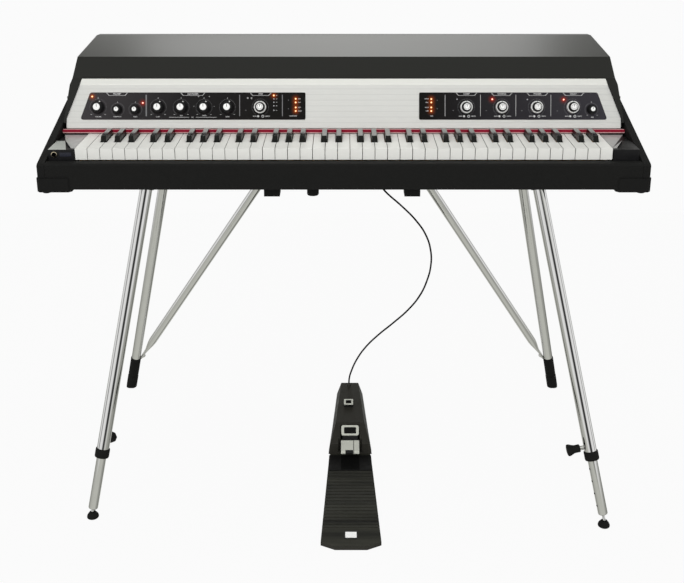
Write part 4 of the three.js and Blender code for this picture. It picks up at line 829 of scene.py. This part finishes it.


# Felt strip: a red felt bushing between the keys and the name rail, glued to the rail.
# Its edges against the rail and the keys are painted pale, as a painted highlight.

RAIL_EDGE = [(y - AHEAD) / 1000 for y in (140.3, 141.5)]
KEY_EDGE = [(BASE + h) / 1000 for h in (74.9, 74.1)]
felt, tree, bsdf = new_material("red_felt")
fuzz = grain(tree, 1500, detail=6)
tint = ramp(tree, fuzz, [(0.3, (0.17, 0.004, 0.014)), (0.7, (0.26, 0.009, 0.03))])
# Painted highlight: pale behind the felt's front face and along its foot by the keys.
painted_highlight = result(tree, "MAXIMUM", share_along(tree, "Y", *RAIL_EDGE), share_along(tree, "Z", *KEY_EDGE))
colour = add(tree, "MixRGB", painted_highlight, tint, (0.5, 0.3, 0.3, 1)).outputs[0]
fill(bsdf, Base_Color=colour, Roughness=0.95, Specular_IOR_Level=0.1)
emboss(bsdf, fuzz, 0.6, 0.0005)
carry("felt_strip", felt, 1.2, 3)


# Keys: moulded plastic coverings on wooden levers that rock on the balance rail.
# The naturals are warm white with flanks darkened by painted shade, and the sharps are black with
# polished tops. The levers behind them are bare wood.

KEY_WHITE = grainy("key_white", (0.69, 0.69, 0.655), 0.3, scale=900, relief=0.004, spread=0.01,
                   specular=0.35, rough_spread=0.02)
# Painted shade: the naturals' flanks are darkened, so that the gaps between the keys read dark.
KEY_FLANK_PAINTED_SHADE = grainy("key_flank_painted_shade", (0.16, 0.16, 0.145), 0.5, scale=900, relief=0.01, spread=0.03,
                   specular=0.2)
KEY_BLACK = grainy("key_black", (0.005, 0.0052, 0.0045), 0.3, scale=700, relief=0.01, spread=0.15,
                   specular=0.2)
KEY_POLISH = grainy("key_polish", (0.012, 0.012, 0.011), 0.16, scale=700, relief=0.005, spread=0.1,
                    specular=1.0, coat=1.0, rough_spread=0.04)
LEVER_WOOD = grainy("lever_wood", (0.5, 0.34, 0.19), 0.7, scale=60, stretch=(1, 0.08, 1), spread=0.25)
LEVER_START = (150.5 - AHEAD) / 1000
SHARP_END = (138 - AHEAD) / 1000
BANKS = ("bass", "middle", "treble")
for bank in BANKS:
    carry("natural_keys_" + bank, KEY_WHITE, 0.7, 2, extra=(LEVER_WOOD, KEY_FLANK_PAINTED_SHADE),
          choose=lambda c, n: 1 if c.y > LEVER_START else 2 if abs(n.x) > 0.9 else 0)
    carry("sharp_keys_" + bank, KEY_BLACK, 1.3, 3, extra=(LEVER_WOOD, KEY_POLISH),
          choose=lambda c, n: 1 if c.y > SHARP_END else 2 if n.z > 0.85 else 0)


# The action under the hood: plastic hammers, steel tone bars and a felted damper bar.
# The key frame and the harp frame that carry them are wood, screwed to the key bed. All of it is
# out of sight, and keeps the shapes of its solids.

HAMMER = grainy("hammer_plastic", (0.6, 0.56, 0.46), 0.5, relief=0.05)
BARE_WOOD = grainy("action_wood", (0.5, 0.35, 0.2), 0.7, scale=60, stretch=(0.1, 1, 1), spread=0.25)
STEEL = grainy("dull_steel", (0.5, 0.5, 0.49), 0.3, metal=1, scale=200, relief=0.03, spread=0.06)
DAMPER = grainy("damper_felt", (0.45, 0.42, 0.36), 0.95, scale=1200, relief=0.4, spread=0.2)
for bank in BANKS:
    carry("hammers_" + bank, HAMMER)
carry("action_frame", BARE_WOOD)
carry("harp_frame", BARE_WOOD)
carry("tone_bars", STEEL)
carry("damper_bar", DAMPER)


# Key blocks: black lacquered blocks at the ends of the keys, each with a bright end plate.
# The left one has a painted reflection that makes its top pale, and a brass headphone socket in its front
# beside a bare plate.

SATIN_BLACK = grainy("satin_black", (0.008, 0.008, 0.0085), 0.42, scale=350, relief=0.05, specular=0.25)
BRIGHT_PLATE = grainy("bright_plate", (0.47, 0.47, 0.465), 0.36, metal=0.5, scale=60, relief=0.003,
                      spread=0.04, rough_spread=0.03)
# Painted reflection: the left block's top is made pale grey, where the right block's stays black.
TOP_PAINTED_REFLECTION = grainy("satin_top_painted_reflection", (0.42, 0.44, 0.41), 0.35, metal=0.3, scale=200, relief=0.01,
                  spread=0.04)
PLATE_FLOOR = (BASE + 67.5) / 1000
BLOCK_TOP = (BASE + 68.5) / 1000
PLATE_START = -0.1752
PLATE_WIDENS = -0.1212
NARROW_EDGE, WIDE_EDGE = 0.5205, 0.552


def on_plate(centre, normal):
    out = abs(centre.x)
    inner = out < NARROW_EDGE or (centre.y > PLATE_WIDENS and out < WIDE_EDGE)
    if centre.z > PLATE_FLOOR and inner and centre.y > PLATE_START:
        return 1
    return 2 if centre.x < -NARROW_EDGE and normal.z > 0.5 and centre.z > BLOCK_TOP else 0


carry("key_block_left", SATIN_BLACK, 1.0, 2, extra=(BRIGHT_PLATE, TOP_PAINTED_REFLECTION), choose=on_plate)
carry("key_block_right", SATIN_BLACK, 1.0, 2, extra=(BRIGHT_PLATE,), choose=on_plate)
BRASS = grainy("socket_brass", (0.6, 0.52, 0.38), 0.3, metal=1, scale=200, relief=0.02)
# Near black: the socket's bore and the badge's window, and painted shade for the leg holes and the middle of
# the shadow sheet under the treadle.
DARK_AND_PAINTED_SHADE = grainy("dark_and_painted_shade", (0.003, 0.003, 0.003), 0.9, relief=0.02, specular=0.1)
PLATE_BLUE = grainy("blue_black_plate", (0.012, 0.013, 0.022), 0.3)
SOCKET_PLACE = (-544, 31, BASE + 59.5)
SOCKET_PROFILE = [(0, 30), (4.6, 30), (4.6, -0.3), (5.7, -0.3), (6, -0.7), (5.8, -1.8), (5.2, -2.3),
                  (4.4, -2.3), (4.2, -1.9), (3.3, -1.7), (3.3, 28), (0, 28)]
socket = Soup()
socket.turned(SOCKET_PROFILE, SOCKET_PLACE, (0, 1, 0), [0] * 8 + [1] * 3, 48)
socket.made("headphone_socket_turned", [BRASS, DARK_AND_PAINTED_SHADE], "socket_metal", fixed="headphone_socket")
socket_plate = Soup()
socket_plate.prism(rounded(-534, -512, BASE + 55.6, BASE + 63.4, 1), 30.95, 30.5, lambda a, b, t: (a, t, b))
socket_plate.made("bare_socket_plate", [PLATE_BLUE], "block_black", smooth=0)


# Front legs: chromed steel tubes that screw into flanges under the case and splay out to the floor.
# Each ends in a moulded black collar, out of which the leg's extension slides. A leg runs from its
# foot to its top, and heights along it count from the foot.

CHROME = grainy("chrome", (0.8, 0.8, 0.79), 0.06, metal=1, scale=60, relief=0.003, spread=0.02,
                rough_spread=0.02)
FRONT_LEGS = {
    "left": (Vector((-509.5, -62, 0)), Vector((-381.6, 90, BASE))),
    "right": (Vector((521.3, -91, 0)), Vector((376.4, 90, BASE))),
}
TUBE, TUBE_BORE = 12.2, 10.7
TUBE_GAP = 11.9
FRONT_TUBE_LENGTH = 563
COLLAR_PROFILE = [(9.8, 0), (13.4, 0), (14, 1), (14.2, 2.6), (14.2, 15.6), (13.8, 17.3), (13.2, 18),
                  (12.25, 18), (12.25, 4), (9.8, 4), (9.8, 0)]


def front_legs():
    """Each front leg's side and foot, the way it rises, and the heights of its top and its collar."""
    for side, (foot, top) in FRONT_LEGS.items():
        length = (top - foot).length
        yield side, foot, (top - foot).normalized(), length, length - TUBE_GAP - FRONT_TUBE_LENGTH


def squared(rise, way):
    """The part of a way that is square to a leg's rise."""
    return (way - rise * way.dot(rise)).normalized()


for side, foot, rise, length, collar in front_legs():
    low, high = collar + 5, length - TUBE_GAP
    leg = Soup()
    leg.turned(tube(TUBE_BORE, TUBE, low, high), foot, rise, 0, 64)
    leg.turned([(r, collar + h) for r, h in COLLAR_PROFILE], foot, rise, 1, 64)
    leg.made("front_leg_tube_" + side, [CHROME, RUBBER], "chrome", fixed="front_leg_" + side)


# Leg extensions: the thinner chromed tubes that slide in the front legs, with a plug and a ball end.
# The right one shows the row of holes that its clamp can bite in, as thin dark discs of painted shade.

PLUG_HEIGHT = {"left": 20, "right": 26}
HOLES = {"left": (), "right": (121.9, 96.7, 71.5, 46.3)}
HOLE_WAY = Vector((-1, -0.25, 0))
# Each hole is a thin dark disc on the tube: painted shade in place of an open hole.
HOLE_PROFILE = [(0, 9.56), (2.1, 9.56), (2.1, 9.2), (0, 9.2)]
INSIDE_LEG = 186
for side, foot, rise, length, collar in front_legs():
    low, high = PLUG_HEIGHT[side], collar + INSIDE_LEG
    inner = Soup()
    inner.turned([(0, 11.4), (2.2, 11.8), (3, 13.2), (3, 15.4), (2.6, 17.4), (2.6, low), (7.2, low),
                  (8.8, low + 1.2), (9.5, low + 3.2), (9.5, high), (0, high)], foot, rise, 0, 48)
    for at in HOLES[side]:
        inner.turned(HOLE_PROFILE, foot + rise * at, squared(rise, HOLE_WAY), 1, 20)
    inner.made("front_leg_inner_" + side, [CHROME, DARK_AND_PAINTED_SHADE], "chrome", moving="leg_extension_" + side)


# Levelling feet: moulded black rubber bells, each pressed on the ball at its extension's end.
# They stand flat on the floor, whatever the slope of the leg.

BALL_HEIGHT = 14
BELL_PROFILE = [(0, 0), (10.6, 0), (11.6, 0.8), (11.8, 2.5), (11.2, 5), (9.7, 7.6), (7.6, 10.2),
                (6.5, 11.9), (5.6, 12.5), (4.3, 12.3), (4.0, 10.6), (0, 10.2)]
for side, foot, rise, length, collar in front_legs():
    ball = foot + rise * BALL_HEIGHT
    bell = Soup()
    bell.turned(BELL_PROFILE, Vector((ball.x, ball.y, 0)), (0, 0, 1), 0, 48)
    bell.made("levelling_foot_bell_" + side, [RUBBER], "rubber", moving="levelling_foot_" + side)


# Clamp knobs: black lobed knobs on chromed screws, which go through the leg just over its collar.
# Each clamps the extension at its length. The left one points back, and the right one inwards.

CLAMP_WAY = {"left": Vector((0.165, 1, 0)), "right": Vector((-1, 0, 0))}
CLAMP_RISE = 27
CLAMP_SCREW = [(0, 12.6), (4.5, 12.6), (4.5, 20.2), (0, 20.2)]
CLAMP_PROFILE = [(0, 20), (6.8, 20), (7.8, 21), (7.7, 30), (8.5, 33.6), (10.6, 38.2), (11.6, 41),
                 (11.8, 43.4), (11, 45), (9, 45.7), (0, 45.7)]
for side, foot, rise, length, collar in front_legs():
    place, reach = foot + rise * (collar + CLAMP_RISE), squared(rise, CLAMP_WAY[side])
    clamp = Soup()
    clamp.turned(CLAMP_SCREW, place, reach, 1, 32)
    clamp.turned(CLAMP_PROFILE, place, reach, 0, 64, 8, 0.06, (5, 6, 7, 8))
    clamp.made("clamp_screw_" + side, [RUBBER, CHROME], "clamp_black", moving="clamp_knob_" + side)


# Rear legs: chromed tubes of one length, with long black rubber tips pushed on their ends.
# The tips' edges are cut off level with the floor.

REAR_LEGS = {
    "left": (Vector((-537.0, 476, 0)), Vector((-382.9, 360, BASE))),
    "right": (Vector((527.4, 476, 0)), Vector((380.4, 360, BASE))),
}
REAR_TUBE, REAR_BORE = 11.0, 9.5
TIP_PROFILE = [(0, -5), (11.6, -5), (12.6, 4), (12.7, 10), (12.7, 35.8), (11.3, 37.2), (11.3, 38.6),
               (12.2, 40), (12.2, 91.6), (11.8, 93.1), (11.02, 93.5), (11.02, 23), (0, 23)]
for side, (foot, top) in REAR_LEGS.items():
    rise = (top - foot).normalized()
    low, high = 24, (top - foot).length - TUBE_GAP
    leg = Soup()
    leg.turned(tube(REAR_BORE, REAR_TUBE, low, high), foot, rise, 0, 64)
    leg.turned(TIP_PROFILE, foot, rise, 1, 64)
    leg.points = [(p[0], p[1], max(p[2], 0)) for p in leg.points]
    leg.made("rear_leg_tube_" + side, [CHROME, RUBBER], "chrome", fixed="rear_leg_" + side)


# Rear braces: chromed tubes with flattened ends, from brackets under the case to the rear legs.
# A rivet holds each to its leg. A ring of the brace is its place along it, its breadth and its
# thickness, and the upper half mirrors the lower.

BRACE_FOOT, BRACE_OFFSET = 100, 14.4
BRACKET_X, BRACKET_Y, BRACKET_DROP = 147.3, 250, 20
BRACE_END = [(-7, 2, 2.2), (-5.5, 5, 2.4), (-2, 7.8, 2.5), (3, 9, 2.5), (22, 9, 2.5), (36, 9.4, 5),
             (52, 9.5, 8), (66, 9.5, 9.5)]
BRACE_SIDES = 32
BRACE_ANGLES = [2 * math.pi * i / BRACE_SIDES for i in range(BRACE_SIDES)]
RIVET_PROFILE = [(0, 2.3), (6.2, 2.3), (6.2, 3.1), (3.8, 3.4), (3.8, 5.2), (3, 6), (0, 6)]
for side, (foot, top) in REAR_LEGS.items():
    sign = -1 if side == "left" else 1
    rise = (top - foot).normalized()
    inward = squared(rise, Vector((-sign, 0, 0)))
    low = foot + rise * BRACE_FOOT + inward * BRACE_OFFSET
    high = Vector((sign * BRACKET_X, BRACKET_Y, BASE - BRACKET_DROP))
    run, span = (high - low).normalized(), (high - low).length
    thin = squared(run, inward)
    broad = run.cross(thin)
    rings = [[low + run * h + thin * (t * math.cos(a)) + broad * (b * math.sin(a)) for a in BRACE_ANGLES]
             for h, b, t in BRACE_END + [(span - h, b, t) for h, b, t in reversed(BRACE_END)]]
    brace = Soup()
    brace.loft(rings)
    brace.turned(RIVET_PROFILE, low + run * 4, thin, 0, 24)
    brace.made("rear_brace_bar_" + side, [CHROME], "chrome", fixed="rear_brace_" + side)


# Under the case: the stained bottom board, which is also the key bed, with what is screwed to it.
# These are four black leg flanges with their sockets and screws, two steel brace brackets, two
# rubber blocks, a thumb knob and the cable's socket.

BOARD = grainy("stained_board", (0.016, 0.0145, 0.013), 0.75, scale=50, stretch=(0.06, 1, 1),
               relief=0.12, spread=0.4)
BOARD_HALF, BOARD_FRONT, BOARD_BACK, BOARD_THICK = 555.7, 24.3, 575.7, 12
SUNK = BASE + 0.5
PLATE_X, TAB_IN, TAB_OUT = 142.3, 140.5, 144.5
TAB_FRONT, TAB_BACK = 234, 266
BLOCK_OUTLINE = rounded(42, 76, BASE - 28, BASE + 2, 2.5, 3)
SCREW_REACH = 30
FLANGE_PROFILE = [(0, -6), (36, -6), (38.6, -5.2), (40, -3), (40, 0.5), (0, 0.5)]
SCREW_PROFILE = [(0, -7.6), (2.6, -7.4), (3.8, -6.4), (3.8, -5.8), (0, -5.8)]
THUMB_PROFILE = [(0, -28.5), (8, -28.5), (10.4, -27.7), (11.5, -25.5), (11.5, -8), (10.2, -6.5),
                 (10.2, 0.5), (0, 0.5)]
CABLE_SOCKET = [(0, -12), (3.6, -12), (4.4, -11.4), (8.6, -6.2), (9, -5), (9, 0.5), (0, 0.5)]


def in_profile(a, b, t):
    return (t, a, b)


under = Soup()
under.box(-BOARD_HALF, BOARD_HALF, BOARD_FRONT, BOARD_BACK, BASE, BASE + BOARD_THICK, 1)
for legs, radius in ((FRONT_LEGS, TUBE), (REAR_LEGS, REAR_TUBE)):
    for foot, top in legs.values():
        bore, skin = radius + 0.3, radius + 3.8
        under.turned(FLANGE_PROFILE, top, (0, 0, 1), 0, 64)
        under.turned([(bore, -2), (skin, -2), (skin, 25), (skin - 0.8, 26), (bore + 0.6, 26),
                      (bore, 25.4), (bore, -2)], top, (foot - top).normalized(), 0, 48)
        for k in range(4):
            a = math.pi / 4 + k * math.pi / 2
            at = (top.x + SCREW_REACH * math.cos(a), top.y + SCREW_REACH * math.sin(a), BASE)
            under.turned(SCREW_PROFILE, at, (0, 0, 1), 2, 20)
for sign in (-1, 1):
    x = PLATE_X * sign
    under.box(x - 16, x + 16, TAB_FRONT, TAB_BACK, BASE - 4, SUNK, 2)
    under.box(*sorted((sign * TAB_IN, sign * TAB_OUT)), TAB_FRONT, TAB_BACK, BASE - 28, SUNK, 2)
for x in (-137.8, 131.4):
    under.prism(BLOCK_OUTLINE, x - 15, x + 15, in_profile, 3)
under.turned(THUMB_PROFILE, (-59.5, 56, BASE), (0, 0, 1), 3, 60, 15, 0.06, (3, 4))
under.turned(CABLE_SOCKET, (64, 172, BASE), (0, 0, 1), 0, 40)
under.made("bottom_board_fitted", [SATIN_BLACK, BOARD, STEEL, RUBBER], "plywood", fixed="bottom_board")


# Pedal: a floor plate with a ribbed rubber mat, and on it a black moulded housing for the switch.
# The mat has a bare plate near its front end, and under the treadle a dark sheet of painted shadow, darkest
# in its middle.

PEDAL_BLACK = grainy("pedal_black", (0.0215, 0.0205, 0.017), 0.5, scale=400, relief=0.12, spread=0.15,
                     specular=0.3)
MAT = grainy("pedal_mat", (0.0185, 0.0185, 0.014), 0.6, scale=42, stretch=(0.08, 1, 1), relief=0.2,
             spread=0.75, specular=0.2)
WHITE_PLATE = grainy("white_plate", (0.85, 0.85, 0.84), 0.35, relief=0.02, spread=0.02)
PEDAL_X = 14
MAT_TOP = 7.9
PLATE_BACKING = rounded(-13, 13, -139.5, -115.5, 1.5)
PLATE_FACE = rounded(-11, 11, -136.5, -119, 1)
SHADOW_SHEET_OUTLINE = [(-48.2, 92), (48.2, 92), (46.4, 150), (-46.4, 150)]
SHADOW_SHEET_CORE = [(-20, 94), (20, 94), (20, 150), (-20, 150)]
carry("pedal_base", PEDAL_BLACK, 0.5, 2, extra=(MAT,), choose=lambda c, n: 1 if n.z > 0.5 else 0)
carry("pedal_housing", PEDAL_BLACK, 1.6, 3, angle=20)


def on_pedal(a, b, t):
    return (PEDAL_X + a, b, t)


floor_badge = Soup()
floor_badge.prism(PLATE_BACKING, MAT_TOP, MAT_TOP + 0.6, on_pedal, 1)
floor_badge.prism(PLATE_FACE, MAT_TOP + 0.4, MAT_TOP + 1, on_pedal, 0)
floor_badge.made("bare_floor_plate", [WHITE_PLATE, SATIN_BLACK], "pedal_black")
# Painted shadow: a dark sheet on the mat under the treadle's nose, with a darker core, where the housing and
# treadle shade the mat.
shadow_sheet = Soup()
shadow_sheet.prism(SHADOW_SHEET_OUTLINE, MAT_TOP, MAT_TOP + 1, on_pedal, 0)
shadow_sheet.prism(SHADOW_SHEET_CORE, MAT_TOP + 0.9, MAT_TOP + 1.2, on_pedal, 1)
shadow_sheet.made("pedal_painted_shadow_sheet", [RUBBER, DARK_AND_PAINTED_SHADE], "pedal_black")


# Housing badge: a bare satin metal frame round a dark window, let into the housing's slope.
# The slope rises from the treadle to the back, and its height is known at two places.

SATIN_METAL = grainy("satin_metal", (0.57, 0.58, 0.52), 0.5, metal=0.25, relief=0.03, spread=0.05)
SLOPE_START = (201, 61)
SLOPE_END = (321, 95)
BADGE_BODY = rounded(-13.7, 7.5, 246, 263, 1.5)
BADGE_FRAME = rounded(-13.5, 7.3, 246.2, 262.8, 1.5)
BADGE_WINDOW = rounded(-9.4, 3.2, 250, 259.4, 1)
SLOPE = (SLOPE_END[1] - SLOPE_START[1]) / (SLOPE_END[0] - SLOPE_START[0])


def on_slope(x, y, out):
    s = math.hypot(1, SLOPE)
    return (PEDAL_X + x, y - out * SLOPE / s, SLOPE_START[1] + (y - SLOPE_START[0]) * SLOPE + out / s)


badge = Soup()
badge.prism(BADGE_BODY, -1, 7.4, on_slope, 1)
badge.prism(BADGE_FRAME, 7, 8, on_slope, 0)
badge.prism(BADGE_WINDOW, 7.6, 8.2, on_slope, 2)
badge.made("bare_housing_badge", [SATIN_METAL, SATIN_BLACK, DARK_AND_PAINTED_SHADE], "pedal_black")


# Treadle: a satin metal frame round a ribbed rubber pad, and in front of it a split metal nose.
# Both are fixed on a black arm inside the housing, which turns on a pin at its back.

PAD_LOW, PAD_HIGH = (171.5, 45.5), (190, 60)
pad_run = Vector((0, PAD_HIGH[0] - PAD_LOW[0], PAD_HIGH[1] - PAD_LOW[1]))
PAD_LENGTH = pad_run.length
pad_run.normalize()
pad_out = Vector((0, -pad_run.z, pad_run.y))
PAD_RIBS, RIB_PITCH, RIB_START, RIB_WIDTH, RIB_HALF = 5, 2.9, 5.2, 1.5, 12.6
PAD_BOTTOM, PAD_FACE, FRAME_FACE = -4, 0.4, 1.2


def on_pad(a, b, t):
    return tuple(Vector((PEDAL_X + a, PAD_LOW[0], PAD_LOW[1])) + pad_run * b + pad_out * t)


treadle = Soup()
outer = rounded(-19.5, 19.5, 0, PAD_LENGTH, 4.5)
inner = rounded(-13.4, 13.4, 4.2, PAD_LENGTH - 4.4, 2)
points = [on_pad(a, b, t) for t in (PAD_BOTTOM, FRAME_FACE) for a, b in outer + inner]
n = len(outer)
faces = []
for i in range(n):
    j = (i + 1) % n
    faces += [[i, j, 2 * n + j, 2 * n + i], [n + i, 3 * n + i, 3 * n + j, n + j],
              [2 * n + i, 2 * n + j, 3 * n + j, 3 * n + i], [i, n + i, n + j, j]]
treadle.shape(points, faces, 0)
treadle.prism(inner, PAD_BOTTOM, PAD_FACE, on_pad, 1)
for k in range(PAD_RIBS):
    b, end = RIB_START + k * RIB_PITCH, RIB_START + k * RIB_PITCH + RIB_WIDTH
    rib = [(-RIB_HALF, b), (RIB_HALF, b), (RIB_HALF, end), (-RIB_HALF, end)]
    treadle.prism(rib, 0.3, 1.0, on_pad, 1)
NOSE = [(128.4, 25.8), (128.8, 28.8), (131.4, 31.2), (158, 39.8), (161, 39.9), (163, 37.6), (163, 34.8),
        (131, 25.2)]
BUMPER = [(128.2, 25.6), (128.4, 28.9), (131.2, 31.5), (134, 32.4), (134, 28), (131, 25)]
ARM = [(160, 30), (163, 37), (172, 43.5), (190, 57), (222, 42), (272, 40), (278, 34), (272, 28), (170, 36)]
PIN_PLACE = (PEDAL_X, 272, 34)
PIN_PROFILE = [(0, -28.5), (3, -28.5), (3, 28.5), (0, 28.5)]
NOSE_HALF, SLIT_START, SLIT_END = 20, 7.2, 8.4
treadle.prism(NOSE, PEDAL_X - NOSE_HALF, PEDAL_X + SLIT_START, in_profile, 0)
treadle.prism(NOSE, PEDAL_X + SLIT_END, PEDAL_X + NOSE_HALF, in_profile, 0)
filling = [(a + 0.6, b - 0.8) for a, b in NOSE]
treadle.prism(filling, PEDAL_X + SLIT_START - 0.1, PEDAL_X + SLIT_END + 0.1, in_profile, 2)
treadle.prism(BUMPER, PEDAL_X - 10.5, PEDAL_X + 6.6, in_profile, 2)
treadle.prism(ARM, PEDAL_X - 17, PEDAL_X + 17, in_profile, 2)
treadle.turned(PIN_PROFILE, PIN_PLACE, (1, 0, 0), 0, 24)
bright = treadle.made("pedal_treadle_bright", [SATIN_METAL, RUBBER, SATIN_BLACK], "pedal_chrome",
                      moving="pedal_treadle", smooth=0)
soften(bright, 0.7, 2, 25)

low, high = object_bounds()
